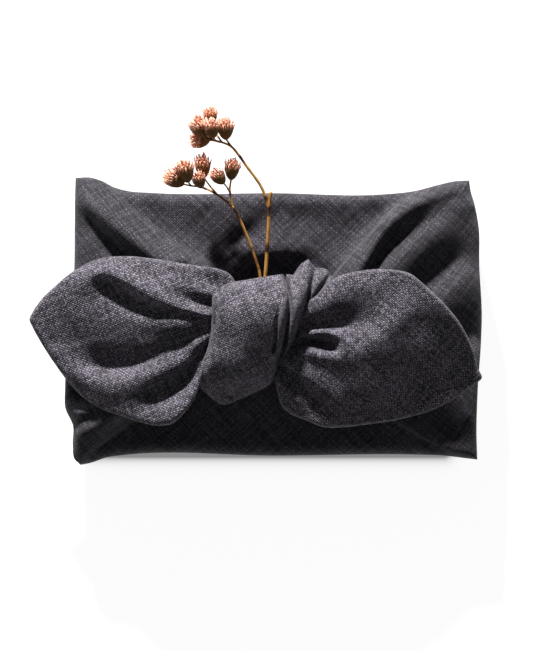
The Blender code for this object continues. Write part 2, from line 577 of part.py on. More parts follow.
def main():
    for thing in list(bpy.data.objects):
        bpy.data.objects.remove(thing, do_unlink=True)
    cloth = make_material("charcoal linen", (0.035, 0.033, 0.038), 0.9)
    bark = make_material("dry stem", (0.42, 0.23, 0.06), 0.7)
    petals = make_material("dry petals", (0.36, 0.15, 0.12), 0.85)
    build_wrap(cloth)
    for name, stalks in STEMS.items():
        build_stem(name, stalks, bark)
    for number, head in enumerate(HEADS, 1):
        build_head(number, head, petals)


main()
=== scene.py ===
# %% [markdown]
# # A furoshiki wrap
#
# A furoshiki is one square of cloth tied round a gift. Two of its corners fold over the packet as flaps. The
# other two are drawn in from the ends as wings, knotted in the middle, and their tips spread as two tails.
# A small dried sprig is tucked behind the knot. The lesson dresses a finished solid model of the wrap: each
# cell makes one piece of it, in metres, in the place where that solid lies.

# %% Load the solid model
import math
from collections import namedtuple

import bmesh
import bpy
import numpy as np
from mathutils import Matrix, Vector, noise


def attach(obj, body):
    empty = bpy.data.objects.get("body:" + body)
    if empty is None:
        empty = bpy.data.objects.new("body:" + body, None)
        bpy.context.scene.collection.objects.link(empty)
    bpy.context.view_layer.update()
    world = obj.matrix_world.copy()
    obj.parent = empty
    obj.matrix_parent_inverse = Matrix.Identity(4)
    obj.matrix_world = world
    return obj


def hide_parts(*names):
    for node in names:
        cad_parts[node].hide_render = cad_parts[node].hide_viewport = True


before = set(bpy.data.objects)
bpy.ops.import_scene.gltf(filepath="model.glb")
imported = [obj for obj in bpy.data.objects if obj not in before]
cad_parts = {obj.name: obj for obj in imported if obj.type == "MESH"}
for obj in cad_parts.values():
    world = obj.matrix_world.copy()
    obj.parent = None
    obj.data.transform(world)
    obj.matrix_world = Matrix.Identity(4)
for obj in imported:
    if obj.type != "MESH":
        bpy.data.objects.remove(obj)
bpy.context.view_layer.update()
MM = 0.001
print("solid model:", len(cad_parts), "nodes")

# %% [markdown]
# ## The camera
#
# The packet lies on its back, so a camera straight above it sees the knotted face. It stands well away, with
# a long lens, because a near camera would swell the knot. The frame height that the lens should cover, at the
# height of the packet's face, gives the lens's length by similar triangles.

# %% Camera above the knotted face
CAMERA_DISTANCE = 1500.0
FACE_LEVEL = 40.0
FRAME_HEIGHT = 286.44
FRAME_MIDDLE = (-4.62, -0.44)
SENSOR_HEIGHT = 36.0
FARTHEST_SEEN = 10.0


def add_object(name, data):
    """A new object in the scene for a mesh, a lamp or a camera."""
    thing = bpy.data.objects.new(name, data)
    bpy.context.scene.collection.objects.link(thing)
    return thing


camera_data = bpy.data.cameras.new("camera")
camera_data.sensor_fit = "VERTICAL"
camera_data.sensor_height = SENSOR_HEIGHT
camera_data.lens = SENSOR_HEIGHT * CAMERA_DISTANCE / FRAME_HEIGHT
camera_data.clip_end = FARTHEST_SEEN
camera = add_object("camera", camera_data)
camera.location = Vector((*FRAME_MIDDLE, CAMERA_DISTANCE + FACE_LEVEL)) * MM
bpy.context.scene.camera = camera
print("lens", round(camera_data.lens, 1), "mm")

# %% [markdown]
# ## Shader maths in Python
#
# A material's pattern is arithmetic on sockets. Wrapping a socket in a small class lets Python's own
# operators add the Math nodes, so that a weave can be written as a formula and read as one.

# %% A socket that Python can calculate with
class Wire:
    """The output of a node. Arithmetic on it adds Math nodes to the same material."""

    def __init__(self, tree, socket=None):
        self.tree = tree
        self.socket = socket

    def node(self, kind, settings, values, output=0):
        """Add any node: its settings first, then the values or wires of its sockets."""
        node = self.tree.nodes.new(kind)
        for key, value in settings.items():
            if key == "stops":
                ramp = node.color_ramp.elements
                while len(ramp) < len(value):
                    ramp.new(0.5)
                for element, (place, color) in zip(ramp, value):
                    element.position, element.color = place, (*color, 1.0)
            else:
                setattr(node, key, value)
        for key, value in values.items():
            if isinstance(value, Wire):
                self.tree.links.new(value.socket, node.inputs[key])
            else:
                node.inputs[key].default_value = value
        return Wire(self.tree, node.outputs[output] if node.outputs else None)

    def math(self, operation, *values, clamp=False):
        settings = {"operation": operation, "use_clamp": clamp}
        return self.node("ShaderNodeMath", settings, dict(enumerate(values)))

    def __add__(self, other):
        return self.math("ADD", self, other)

    def __sub__(self, other):
        return self.math("SUBTRACT", self, other)

    def __rsub__(self, other):
        return self.math("SUBTRACT", other, self)

    def __mul__(self, other):
        return self.math("MULTIPLY", self, other)

    def __truediv__(self, other):
        return self.math("DIVIDE", self, other)

    def __gt__(self, other):
        return self.math("GREATER_THAN", self, other)

    __radd__ = __add__
    __rmul__ = __mul__

    def wave(self):
        """The cosine of a half turn for each unit."""
        return self.math("COSINE", self * math.pi)

    def between(self, low, high):
        """The share, from 0 to 1, of the way from low to high."""
        return self.math("DIVIDE", self - low, high - low, clamp=True)

    def blend(self, first, second):
        """first where this wire is 0, second where it is 1, for numbers."""
        return self.node("ShaderNodeMix", {"data_type": "FLOAT"}, {0: self, 2: first, 3: second})

    def tint(self, first, second):
        """first where this wire is 0, second where it is 1, for colours."""
        return self.node("ShaderNodeMix", {"data_type": "RGBA"}, {0: self, 6: first, 7: second}, 2)

    def parts(self):
        """The X, Y and Z of a vector."""
        split = self.node("ShaderNodeSeparateXYZ", {}, {0: self})
        return [Wire(self.tree, out) for out in split.socket.node.outputs]

    def marked(self, name):
        """The number that the mesh carries as a named attribute."""
        return self.node("ShaderNodeAttribute", {"attribute_name": name}, {}, "Fac")

    def patches(self, x, y, detail=2.0):
        """Smooth random numbers over a flat place."""
        place = self.node("ShaderNodeCombineXYZ", {}, {0: x, 1: y})
        return self.patches_on(place, 1.0, detail)

    def patches_on(self, place, scale, detail, roughness=0.5, output="Fac"):
        """The same over the X and Y of a vector, with so many waves to the metre."""
        values = {"Vector": place, "Scale": scale, "Detail": detail, "Roughness": roughness}
        return self.node("ShaderNodeTexNoise", {"noise_dimensions": "2D"}, values, output)

    def ramp(self, *stops):
        """The colour at this wire's number, between stops of (number, colour)."""
        return self.node("ShaderNodeValToRGB", {"stops": stops}, {"Fac": self})


def new_material(name, roughness):
    """A material with its Principled shader, and a bare wire to grow its nodes from."""
    material = bpy.data.materials.new(name)
    material.use_nodes = True
    shader = material.node_tree.nodes["Principled BSDF"]
    shader.inputs["Roughness"].default_value = roughness
    shader.inputs["Specular IOR Level"].default_value = 0.2
    return material, shader, Wire(material.node_tree)


def feed(shader, socket, wire):
    wire.tree.links.new(wire.socket, shader.inputs[socket])


def feed_bumps(shader, height, distance, strength):
    """Shade a surface as if the wire's number stood out from it."""
    values = {"Height": height, "Distance": distance, "Strength": strength}
    feed(shader, "Normal", height.node("ShaderNodeBump", {}, values))


print("shader maths ready")

# %% [markdown]
# ## The linen
#
# The cloth is a slubby plain weave: each yarn passes over one and under the next, and its thickness changes
# along its length. The weave could be painted by an image, but a formula stays sharp at any distance. The
# pattern is drawn on the cloth's own UV map, in metres of flat cloth, so it follows every fold. Counting
# yarns with a floor, and asking whether the count is odd, tells which yarn lies on top at each crossing. The
# contrast is lower on the packet, where the cloth is drawn tight: its yarns are calmer, its streaks stronger.
# The packet's copy is also painted darker overall: painted shade for its flat face, which takes less of the
# low lamp than the tails and the knot. Rims, hems and wing edges get a painted highlight.

# %% Linen: the woven material
YARN_PITCH = 0.00078
YARN_DRIFT = 0.0022
DRIFT_SCALE = 90.0
CLOUD_SCALE = 110.0
FUZZ_SCALE = 3600.0
CALM_TONE = 0.11
EDGE_HIGHLIGHT_STRENGTH = 0.45
CLOTH_DARK = (0.008, 0.0075, 0.0085, 1.0)
CLOTH_LIGHT = (0.26, 0.233, 0.283, 1.0)
EDGE_HIGHLIGHT_COLOR = (0.17, 0.155, 0.158, 1.0)


def make_linen(name, edge_highlight, contrast):
    """Woven charcoal linen on the UV map "cloth", with a painted highlight along "edge" when asked."""
    material, shader, start = new_material(name, 0.88)
    shader.inputs["Sheen Weight"].default_value = 0.1
    shader.inputs["Sheen Roughness"].default_value = 0.4

    cloth = start.node("ShaderNodeUVMap", {"uv_map": "cloth"}, {})
    x, y, _ = cloth.parts()
    drift = start.patches_on(cloth, DRIFT_SCALE, 4.0, 0.62, "Color").parts()
    warp_at = (x + drift[0] * YARN_DRIFT) / YARN_PITCH
    weft_at = (y + drift[1] * YARN_DRIFT) / YARN_PITCH
    warp_count = warp_at.math("FLOOR", warp_at)
    weft_count = weft_at.math("FLOOR", weft_at)
    odd = start.math("FLOORED_MODULO", warp_count + weft_count, 2.0)

    # Each yarn is a round ridge, higher where it lies on top and where it is thick.
    warp_slub = start.patches(warp_count * 4.37, weft_at * 0.11)
    weft_slub = start.patches(warp_at * 0.06, weft_count * 5.13)
    warp_round = (warp_at - warp_count - 0.5).wave()
    weft_round = (weft_at - weft_count - 0.5).wave()
    warp_top = warp_round * (odd * (0.1 + weft_round * 0.6) + 0.25 + warp_slub * 0.5)
    weft_top = weft_round * ((1.0 - odd) * (0.1 + warp_round * 0.6) + 0.25 + weft_slub * 0.55)
    on_top = weft_top > warp_top
    relief = start.math("MAXIMUM", warp_top, weft_top)

    # The tone: dark warp, pale weft, a chance of its own at each crossing, streaks and clouds.
    crossing = start.node("ShaderNodeCombineXYZ", {}, {0: warp_count, 1: weft_count})
    speck = start.node("ShaderNodeTexWhiteNoise", {"noise_dimensions": "2D"}, {"Vector": crossing})
    warp_dash = start.patches(warp_count * 6.17, weft_at * 0.42)
    weft_dash = start.patches(warp_at * 0.38, weft_count * 7.71)
    slub = weft_slub.between(0.58, 0.74) * weft_round + warp_slub.between(0.62, 0.78) * warp_round * 0.6
    cloudy = start.patches(x * CLOUD_SCALE, y * CLOUD_SCALE)
    warp_tone = warp_dash.between(0.3, 0.7) * 0.45 + 0.08
    weft_tone = weft_dash.between(0.3, 0.7) * 1.2 + 0.3
    # The tone falls towards dark down between the yarns: painted shade in the weave's gaps.
    yarn = on_top.blend(warp_tone, weft_tone) * (speck * 0.8 + 0.35) * relief.between(0.2, 0.62)
    even = yarn * contrast + CALM_TONE * (1.0 - contrast)
    streaks = (start.patches(warp_at * 0.03, weft_at * 0.9).between(0.4, 0.6)
               + start.patches(warp_at * 0.9, weft_at * 0.03).between(0.4, 0.6))
    # For the packet's low contrast these factors also paint the cloth darker: painted shade for its flat
    # face.
    streaky = streaks * (0.85 - contrast * 0.25) + (contrast * 0.25 + 0.15)
    bright = (even * (contrast * 0.42 + 0.58) * streaky * (cloudy * 0.5 + 0.75)
              + slub * (contrast * 0.05))
    color = bright.tint(CLOTH_DARK, CLOTH_LIGHT)
    # Painted highlight: a pale colour mixed in along the "edge" marks of rims, hems and wing edges.
    if edge_highlight:
        color = (start.marked("edge") * EDGE_HIGHLIGHT_STRENGTH).tint(color, EDGE_HIGHLIGHT_COLOR)
    feed(shader, "Base Color", color)
    fuzz = start.patches_on(cloth, FUZZ_SCALE, 2.0)
    height = relief + speck * 0.3 + slub * 0.5 + fuzz * 0.2
    feed_bumps(shader, height, distance=0.00012 + 0.0001 * contrast, strength=1.0)
    return material


linen = make_linen("charcoal_linen", edge_highlight=False, contrast=1.0)
hemmed_linen = make_linen("hemmed_linen", edge_highlight=True, contrast=1.0)
drawn_linen = make_linen("drawn_linen", edge_highlight=True, contrast=0.3)
print("linen:", len(linen.node_tree.nodes), "nodes, yarns", YARN_PITCH * 1000, "mm apart")

# %% [markdown]
# ## Smooth lines from a few points
#
# Outlines and folds are drawn by a few points each. A Hermite curve passes through them all without
# corners. For a fold, what matters at any place on the cloth is how far along the line it lies, and how far
# to the line's left or right.

# %% Reading curves, and places beside them
CURVE_STEPS = 28


def hermite(stations, values, share):
    """Read a smooth curve that passes through the values at the stations."""
    stations = np.asarray(stations, float)
    values = np.asarray(values, float).reshape(len(stations), -1)
    slopes = np.gradient(values, stations, axis=0)
    share = np.clip(np.asarray(share, float), stations[0], stations[-1])
    low = np.clip(np.searchsorted(stations, share, side="right") - 1, 0, len(stations) - 2)
    span = (stations[low + 1] - stations[low])[..., None]
    t = (share - stations[low])[..., None] / span
    rise = t * t * (3 - 2 * t)
    return ((1 - rise) * values[low] + rise * values[low + 1]
            + span * t * (1 - t) * ((1 - t) * slopes[low] - t * slopes[low + 1]))


def profile(pairs, station):
    """Read one smooth number from pairs of (station, number)."""
    return hermite(*zip(*pairs), station)[:, 0]


def lengths_along(points):
    """How far along a line each of its points lies."""
    return np.concatenate([[0.0], np.cumsum(np.linalg.norm(np.diff(points, axis=0), axis=1))])


def units(steps):
    """Rows of numbers as directions of length 1."""
    return steps / np.linalg.norm(steps, axis=1)[:, None]


def curve(points, share):
    """Read the smooth curve through the points at a share of its length."""
    points = np.asarray(points, float)
    reach = lengths_along(points)
    return hermite(reach / reach[-1], points, share)


def drawn(points, count=CURVE_STEPS):
    """The smooth curve through the points as a line of count points."""
    return curve(points, np.linspace(0, 1, count))


def beside(line, x, y):
    """For each place, its share along a line of points and its distance to the line's left side."""
    share = np.zeros(x.shape)
    nearest = np.full(x.shape, np.inf)
    signed = np.zeros(x.shape)
    for k, (start, end) in enumerate(zip(line, line[1:])):
        step_x, step_y = end[0] - start[0], end[1] - start[1]
        away_x, away_y = x - start[0], y - start[1]
        part = np.clip((away_x * step_x + away_y * step_y) / (step_x ** 2 + step_y ** 2), 0.0, 1.0)
        gap = np.hypot(away_x - part * step_x, away_y - part * step_y)
        side = np.where(step_x * away_y - step_y * away_x < 0, -gap, gap)
        closer = gap < nearest
        nearest = np.where(closer, gap, nearest)
        share = np.where(closer, (k + part) / (len(line) - 1), share)
        signed = np.where(closer, side, signed)
    return share, signed


print("a quarter circle's midpoint:", drawn(((1, 0), (0.707, 0.707), (0, 1)), 3)[1].round(3))

# %% [markdown]
# ## Folds
#
# Folds are made in two ways. Where cloth hangs free or lies over the gift, each crest and valley is a fold
# line with its own heights, and one smooth surface is stretched over all the lines at once: a sum of cones,
# one at each point of the lines, each blunted by its line's softness. A crisp crease has a softness of 0.8
# and a broad roll 2.5. Solving one set of equations gives the cones' strengths.
#
# A pleat on the knot is a ridge or trough added to a rounded body instead. Cloth rolls over gently on one
# side and drops steeply on the other, so each side of the line has its own width.

# %% Stretched surfaces, pleats and ripples
Fold = namedtuple("Fold", "name path height left right power", defaults=(2.0,))
FoldLine = namedtuple("FoldLine", "name softness path")
LINE_SPACING = 2.5
LINE_SLACK = 0.25


def stretched(lines, x, y):
    """Stretch one smooth surface over fold lines, rounded over each by its softness."""
    points, soft = [], []
    for line in lines:
        length = lengths_along(drawn(line.path)[:, :2])[-1]
        count = max(3, round(length / LINE_SPACING))
        points.append(drawn(line.path, count))
        soft.append(np.full(count, line.softness))
    points, soft = np.concatenate(points), np.concatenate(soft)
    apart = points[:, None, :2] - points[None, :, :2]
    count = len(points)
    pull = np.ones((count + 1, count + 1))
    pull[:count, :count] = LINE_SLACK * np.eye(count) - np.sqrt((apart ** 2).sum(-1) + soft ** 2)
    pull[count, count] = 0.0
    strength = np.linalg.solve(pull, np.append(points[:, 2], 0.0))
    height = np.full(np.shape(x), strength[-1])
    for (px, py, _), radius, share in zip(points, soft, strength):
        height -= share * np.sqrt((x - px) ** 2 + (y - py) ** 2 + radius ** 2)
    return height


def along(pair, share):
    """A value that changes evenly from the fold's start to its end."""
    return pair[0] + (pair[1] - pair[0]) * share


def fold_height(fold, x, y):
    """The height that a pleat adds at each place. Left and right are its half widths."""
    share, off = beside(drawn(fold.path), x, y)
    width = np.where(off > 0, along(fold.left, share), along(fold.right, share))
    return along(fold.height, share) * np.exp(-(np.abs(off) / width) ** fold.power)


def ripple(x, y, size, depth, seed):
    """Gentle unevenness, as cloth has after handling."""
    flat = zip(x.ravel() / size, y.ravel() / size)
    waves = [noise.noise(Vector((u, v, seed))) for u, v in flat]
    return depth * np.array(waves).reshape(x.shape)


print("folds ready")

# %% [markdown]
# ## The packet's outline
#
# Seen from above, the packet is a rectangle with small ears, where the wings' cloth stands out at the
# corners. Four edge curves describe it. A Coons patch fills the space between them with a grid: each inner
# point is drawn in from all four edges at once.

# %% Four edges and the grid between them
Patch = namedtuple("Patch", "lower upper left right")
FACE = Patch(
    lower=((-87.2, -62.4), (-82.5, -61.4), (-75.5, -59), (-69, -58.1), (0, -58.2),
           (63, -57.8), (74, -58.2), (83, -59.3), (89, -60)),
    upper=((-89.3, 65), (-83, 65.2), (-77.5, 63.6), (-72.5, 61), (-66, 59.2), (-56, 58.4),
           (0, 58.2), (48, 57.8), (62, 59.4), (72, 62), (79, 63.5), (85.3, 63.9)),
    left=((-87.2, -62.4), (-89.8, -59.5), (-90.5, -53), (-90.2, -45.5), (-93.8, -36.5),
          (-94, -27), (-91.5, -5), (-89.8, 26), (-89.6, 50), (-89.3, 65)),
    right=((89, -60), (88.6, -47), (89, -30), (91, 2), (89.8, 24),
           (89.4, 44), (87.1, 55), (85.8, 59.6), (85.3, 63.9)),
)


def coons(patch, s, t):
    """The place at share s along a patch and t across it, drawn in from its four edges."""
    lower, upper = curve(patch.lower, s), curve(patch.upper, s)
    left, right = curve(patch.left, t), curve(patch.right, t)
    s, t = s[..., None], t[..., None]
    corners = ((1 - s) * (1 - t) * np.array(patch.lower[0]) + s * (1 - t) * np.array(patch.lower[-1])
               + (1 - s) * t * np.array(patch.upper[0]) + s * t * np.array(patch.upper[-1]))
    return (1 - t) * lower + t * upper + (1 - s) * left + s * right - corners


def rim_of(high, wide):
    """Rows and columns of a grid's rim, counter-clockwise from its first corner."""
    return ([(0, c) for c in range(wide - 1)] + [(r, wide - 1) for r in range(high - 1)]
            + [(high - 1, c) for c in range(wide - 1, 0, -1)] + [(r, 0) for r in range(high - 1, 0, -1)])


def inset_from_rim(place, rim):
    """How far each place lies inside the rim."""
    outline = np.array([place[r, c] for r, c in rim + rim[:1]])
    return np.abs(beside(outline[::3], place[..., 0], place[..., 1])[1])


print("the packet's lower left corner is at", FACE.lower[0], "mm")

# %% [markdown]
# ## Making meshes with a cloth map
#
# Every cloth piece needs its vertices, its faces and, for the weave, a UV map that says which part of the
# flat cloth each vertex shows. Filling Blender's arrays in one go is much quicker than adding faces one by
# one.

# %% From arrays to a smooth mesh
def mark_points(mesh, name, values):
    """Give every point of a mesh a number that materials and node groups can read."""
    marks = mesh.attributes.new(name, "FLOAT", "POINT")
    marks.data.foreach_set("value", np.ravel(values).astype(np.float32))


def make_piece(name, verts, faces, cloth_map, material, edge=None):
    """A smooth mesh object from places in millimetres, with its cloth map in metres."""
    mesh = bpy.data.meshes.new(name)
    mesh.from_pydata((np.asarray(verts) * MM).tolist(), [], faces)
    uv = mesh.uv_layers.new(name="cloth")
    corner_vertex = np.empty(len(mesh.loops), np.int32)
    mesh.loops.foreach_get("vertex_index", corner_vertex)
    uv.data.foreach_set("uv", (np.asarray(cloth_map) * MM)[corner_vertex].ravel().astype(np.float32))
    if edge is not None:
        mark_points(mesh, "edge", edge)
    mesh.materials.append(material)
    mesh.shade_smooth()
    mesh.update()
    return add_object(name, mesh)


def grid_faces(rows, columns):
    """The squares of a grid stored row by row."""
    corner = np.arange(rows * columns).reshape(rows, columns)
    return np.stack([corner[:-1, :-1], corner[:-1, 1:], corner[1:, 1:], corner[1:, :-1]], -1).reshape(-1, 4)


def band_faces(inner, outer):
    """The squares between two closed rings of points."""
    return np.stack([inner, outer, np.roll(outer, -1), np.roll(inner, -1)], -1)


def turned(places, degrees):
    """Places turned about the origin, for cloth cut on the bias."""
    angle = math.radians(degrees)
    spin = np.array(((math.cos(angle), math.sin(angle)), (-math.sin(angle), math.cos(angle))))
    return np.asarray(places) @ spin


print("a unit step turned by 45 degrees:", turned([(1.0, 0.0)], 45).round(3))

# %% [markdown]
# ## Pressing a curved sheet flat
#
# The weave keeps its scale only where the flat map has the true lengths of the curved sheet. No curved sheet
# can be laid flat exactly, so springs along the squares of its grid pull the map towards those lengths and
# share out what is left over. Most of the way is gone roughly, on every eighth line, because that is quick.

# %% Springs that press a sheet flat
SPRING_STEP = 1.3
COARSE_LINES = 8
COARSE_ROUNDS = 260
FINE_ROUNDS = 16


def relaxed(flat, solid, rounds):
    """Springs along and across the squares of a grid pull its flat map towards the sheet's true lengths."""
    high, wide = flat.shape[:2]
    for _ in range(rounds):
        push, count = np.zeros_like(flat), np.zeros((high, wide, 1))
        for down, over in ((0, 1), (1, 0), (1, 1), (1, -1)):
            here = np.s_[:high - down, max(-over, 0):wide - max(over, 0)]
            there = np.s_[down:, max(over, 0):wide - max(-over, 0)]
            gap = flat[there] - flat[here]
            true = np.linalg.norm(solid[there] - solid[here], axis=-1, keepdims=True)
            pull = gap * 0.5 * (1 - true / np.linalg.norm(gap, axis=-1, keepdims=True))
            push[here] += pull
            push[there] -= pull
            count[here] += 1
            count[there] += 1
        flat = flat + SPRING_STEP * push / count
    return flat


def between_rows(coarse, high):
    """More rows from a few, each read on a straight line between two."""
    at = np.linspace(0, len(coarse) - 1, high)
    low = np.minimum(at.astype(int), len(coarse) - 2)
    t = (at - low)[:, None, None]
    return coarse[low] * (1 - t) + coarse[low + 1] * t


def pressed_flat(solid):
    """The map of a curved sheet laid out flat: found roughly on every eighth line, then on them all."""
    coarse = solid[::COARSE_LINES, ::COARSE_LINES]
    shift = relaxed(coarse[..., :2], coarse, COARSE_ROUNDS) - coarse[..., :2]
    for count in solid.shape[:2]:
        shift = between_rows(shift, count).transpose(1, 0, 2)
    return relaxed(solid[..., :2] + shift, solid, FINE_ROUNDS)


slope_x, slope_y = np.meshgrid(np.arange(17.0), np.arange(17.0))
slope = pressed_flat(np.dstack([slope_x, slope_y, slope_x]))
print("a slope 16 wide and 16 high, pressed flat, is", round(float(np.ptp(slope[..., 0])), 1), "wide")

# %% [markdown]
# ## The packet's face
#
# The face is one smooth surface stretched over fold lines: the wings' rolls and valleys, the flap's folds and
# the swell under the knot. Each wing then adds its own layer of cloth, with a step at both of its edges, and
# a light ripple is laid over everything. Simulating a whole tied square would need the knot itself to be
# tied, which cloth solvers don't do well, so the folds are given one by one as lines.

# %% The packet's size and its two wings
PACKET_LENGTH = 176.0
PACKET_WIDTH = 114.0
LAYER = 1.4
LAYER_EDGE = 0.5
FACE_RIPPLES = ((26.0, 0.3, 3.1), (9.0, 0.1, 8.7))

Wing = namedtuple("Wing", "bias upper_edge lower_edge")
WINGS = (
    Wing(bias=52.0,
         upper_edge=((-16, 22), (-36.2, 30.2), (-43.9, 35.6), (-51.6, 41.3), (-59.3, 46.8), (-73.2, 61)),
         lower_edge=((-88, -62.5), (-81.4, -55.6), (-73.7, -49.9), (-65.9, -44.3), (-34, -24))),
    Wing(bias=38.0,
         upper_edge=((62.2, 59.5), (52.5, 52.2), (45.5, 45), (39.3, 38.6), (33.1, 31.5), (21.6, 17)),
         lower_edge=((-2, -24), (51.6, -42.6), (62.2, -48.8), (72.8, -54.5), (89, -60.5))),
)

print("wings:", len(WINGS), "on a packet", PACKET_LENGTH, "by", PACKET_WIDTH, "mm")

# %% Fold lines of the packet's face
RIGHT_CREST = FoldLine("right crest", 2.2, (
    (86, 58, 33.4), (76.8, 58.2, 36.4), (67.7, 55.4, 39.2), (60.3, 52.8, 41), (54.8, 49.2, 42),
    (49.3, 44.6, 42.6), (45.6, 40, 42.8), (42, 34.5, 43), (38.8, 28.8, 43.2), (33.8, 20.2, 44)))
FACE_LINES = (
    # The left wing.
    FoldLine("left upper edge", 1.4, (
        (-84, 64, 33.4), (-73.5, 59.6, 34.6), (-66.9, 54, 35.4), (-61.1, 48.2, 36), (-55.4, 42.5, 36.6),
        (-49.6, 37.7, 37), (-43.9, 33.9, 37.6), (-36, 28, 39))),
    FoldLine("left crest", 2.4, (
        (-88, 55.4, 35.4), (-84.1, 53, 37.6), (-81.2, 50.4, 39.2), (-77.4, 47, 40.8), (-72.6, 43.2, 42.4),
        (-67.8, 39.4, 43.4), (-63, 35.6, 44), (-58.2, 31.8, 44.4), (-50, 26, 44.6), (-40, 20, 44.8))),
    FoldLine("left valley", 1.0, (
        (-86.8, 50.4, 34.6), (-83.4, 46.6, 34.6), (-80, 42.6, 35), (-76, 37.8, 35.6), (-71, 33.2, 36.2),
        (-63, 28, 37.4), (-54, 22, 39.6))),
    FoldLine("left flat", 2.5, (
        (-89, 45, 34), (-87, 39, 34.6), (-81, 32, 35.4), (-74, 24, 36.4), (-66, 16, 37.8))),
    FoldLine("left side", 2.5, ((-90, 38, 34.2), (-91, 12, 34), (-92.4, -12, 33.4), (-92.6, -24, 33))),
    FoldLine("left hollow", 1.0, ((-93.2, -31, 31.6), (-88, -33, 31.4), (-80, -32, 33), (-70, -29, 35.4))),
    FoldLine("left low roll", 1.4, (
        (-93.4, -37.2, 35.4), (-88.6, -38, 38.6), (-82, -38, 40.4), (-75, -37.4, 41.4), (-66, -36, 41.8))),
    FoldLine("left low groove", 1.2, ((-91.2, -43.4, 34.6), (-87, -42.4, 37.2), (-81, -41, 38.8))),
    FoldLine("left crease", 0.8, (
        (-90, -49, 35.2), (-85.9, -47.8, 38.2), (-81.5, -45.5, 39.8), (-76.2, -42.9, 41), (-70, -40.2, 41.8),
        (-60, -34.6, 42.2))),
    FoldLine("left lower edge", 1.2, (
        (-88.4, -60.6, 31.8), (-85, -57.6, 32.6), (-78.8, -53.4, 33.6), (-72.7, -48.6, 34.8),
        (-65.6, -42.6, 36.2), (-52, -34, 38))),
    # The right wing, three rolls with valleys between them.
    FoldLine("right upper edge", 2.2, (
        (72, 61, 35), (64, 58.6, 35.4), (56, 55.6, 35.6), (48, 49.6, 35.4), (42, 44.5, 35.2),
        (37, 39.5, 35.4), (32, 33.8, 36), (26, 27.5, 37.2))),
    RIGHT_CREST,
    FoldLine("right crest side", 1.8, [(x + 1.2, y - 2.2, z - 0.9) for x, y, z in RIGHT_CREST.path[1:]]),
    FoldLine("right valley", 0.9, (
        (86.8, 53, 35.3), (78, 51.8, 36.9), (72.5, 48.6, 37.3), (65.2, 45, 37.5), (59.7, 41.4, 37.5),
        (54.2, 38.2, 36.5), (49.6, 35, 36.5), (46, 31.2, 36.7), (43, 26.4, 37.3), (39.5, 18, 38.9))),
    FoldLine("right second crest", 2.2, (
        (87, 47.4, 33.8), (80, 47, 37), (74.4, 44.6, 39), (68.9, 41.6, 40.2), (61.5, 37.2, 41),
        (56, 33.4, 41.4), (51.4, 29.4, 41.6), (47.8, 24.8, 41.8), (44, 17, 42.4))),
    FoldLine("right second valley", 1.3, (
        (88.2, 34.4, 32.8), (82, 29.6, 33), (76, 25.4, 33.6), (71, 21.6, 34.2), (67, 17.6, 34.8),
        (61, 11, 36.6))),
    FoldLine("right third crest", 1.6, (
        (88.6, 24.6, 33.9), (83, 21.4, 36.9), (78, 18, 38.5), (73.5, 13.6, 39.3), (70, 8.6, 39.7))),
    FoldLine("right low valley", 1.6, ((90, -3, 29.6), (84, -5.6, 30.8), (77, -9, 34.6))),
    FoldLine("right side", 2.5, ((89.4, -14, 32.8), (87.8, -26, 34), (87, -38, 33.2), (87.4, -50, 31.4))),
    FoldLine("right low face", 2.5, (
        (78, -16, 38.2), (70, -28, 37.2), (66, -38, 35.4), (74, -44, 33), (80, -52, 31.4))),
    FoldLine("right lower edge", 1.4, (
        (40, -36.6, 38), (51.6, -41.8, 36.6), (62.2, -47.8, 34.8), (72.8, -53.4, 33), (81.7, -57, 31.8),
        (87.6, -58.6, 31.2))),
    # The upper flap, drawn down behind the knot.
    FoldLine("flap rim", 2.0, (
        (-64, 57.6, 35), (-48, 56.6, 35.6), (-20, 56.6, 36), (0, 56.6, 36), (24, 56.6, 35.8),
        (46, 56.4, 35.4))),
    FoldLine("flap face", 3.0, ((-56, 50, 34.6), (-46, 44, 34.2), (-38, 38, 34.2), (-33, 34, 34.8))),
    FoldLine("flap drag", 2.6, (
        (8, 58, 35.8), (0, 55.6, 36), (-8, 51.4, 35.8), (-14.5, 46.2, 35.6), (-21, 41, 35.4),
        (-27, 35.4, 35.4), (-31, 30, 36.4))),
    FoldLine("flap drag valley", 1.8, (
        (9, 54, 36), (1, 50.4, 35), (-6, 45.8, 34), (-12.6, 40.4, 33.2), (-18.6, 34.8, 32.8),
        (-24, 29.4, 34))),
    FoldLine("flap swell", 1.8, (
        (30, 32, 34.6), (18, 32.4, 35.4), (6, 32.4, 36.6), (-2, 32, 37.2), (-8.6, 30.6, 37.4),
        (-14, 27.6, 37.4), (-19, 24.2, 37.2))),
    FoldLine("flap right face", 3.0, ((34, 48, 34.4), (22, 46, 34.2), (10, 46, 34.2))),
    FoldLine("flap pit", 1.4, (
        (22, 23.4, 35), (12, 24.8, 32.6), (0, 25, 30.8), (-10, 23.4, 30.8), (-19, 20, 33.6))),
    # The lower flap.
    FoldLine("lower flap", 3.0, (
        (-60, -50, 33.6), (-40, -46, 35), (-10, -44, 36), (20, -46, 35.6), (40, -50, 34.4))),
    FoldLine("lower flap rim", 2.0, (
        (-70, -55, 32.8), (-40, -54.6, 33.8), (0, -54.6, 34), (40, -55, 33.6), (62, -55.4, 32.4))),
    # Under the tails and the knot.
    FoldLine("neck", 3.0, ((-24, 4, 48), (-12, -4, 50), (0, -8, 48), (-16, -14, 48))),
    FoldLine("under tails left", 3.0, (
        (-80, 0, 37.6), (-56, -2, 39.6), (-40, -4, 42), (-52, -20, 39.6), (-30, -28, 41))),
    FoldLine("under tails right", 3.0, (
        (66, -6, 38.6), (44, -2, 40.4), (26, -2, 43), (40, -22, 39.2), (14, -30, 40.6))),
)
print("fold lines:", len(FACE_LINES))

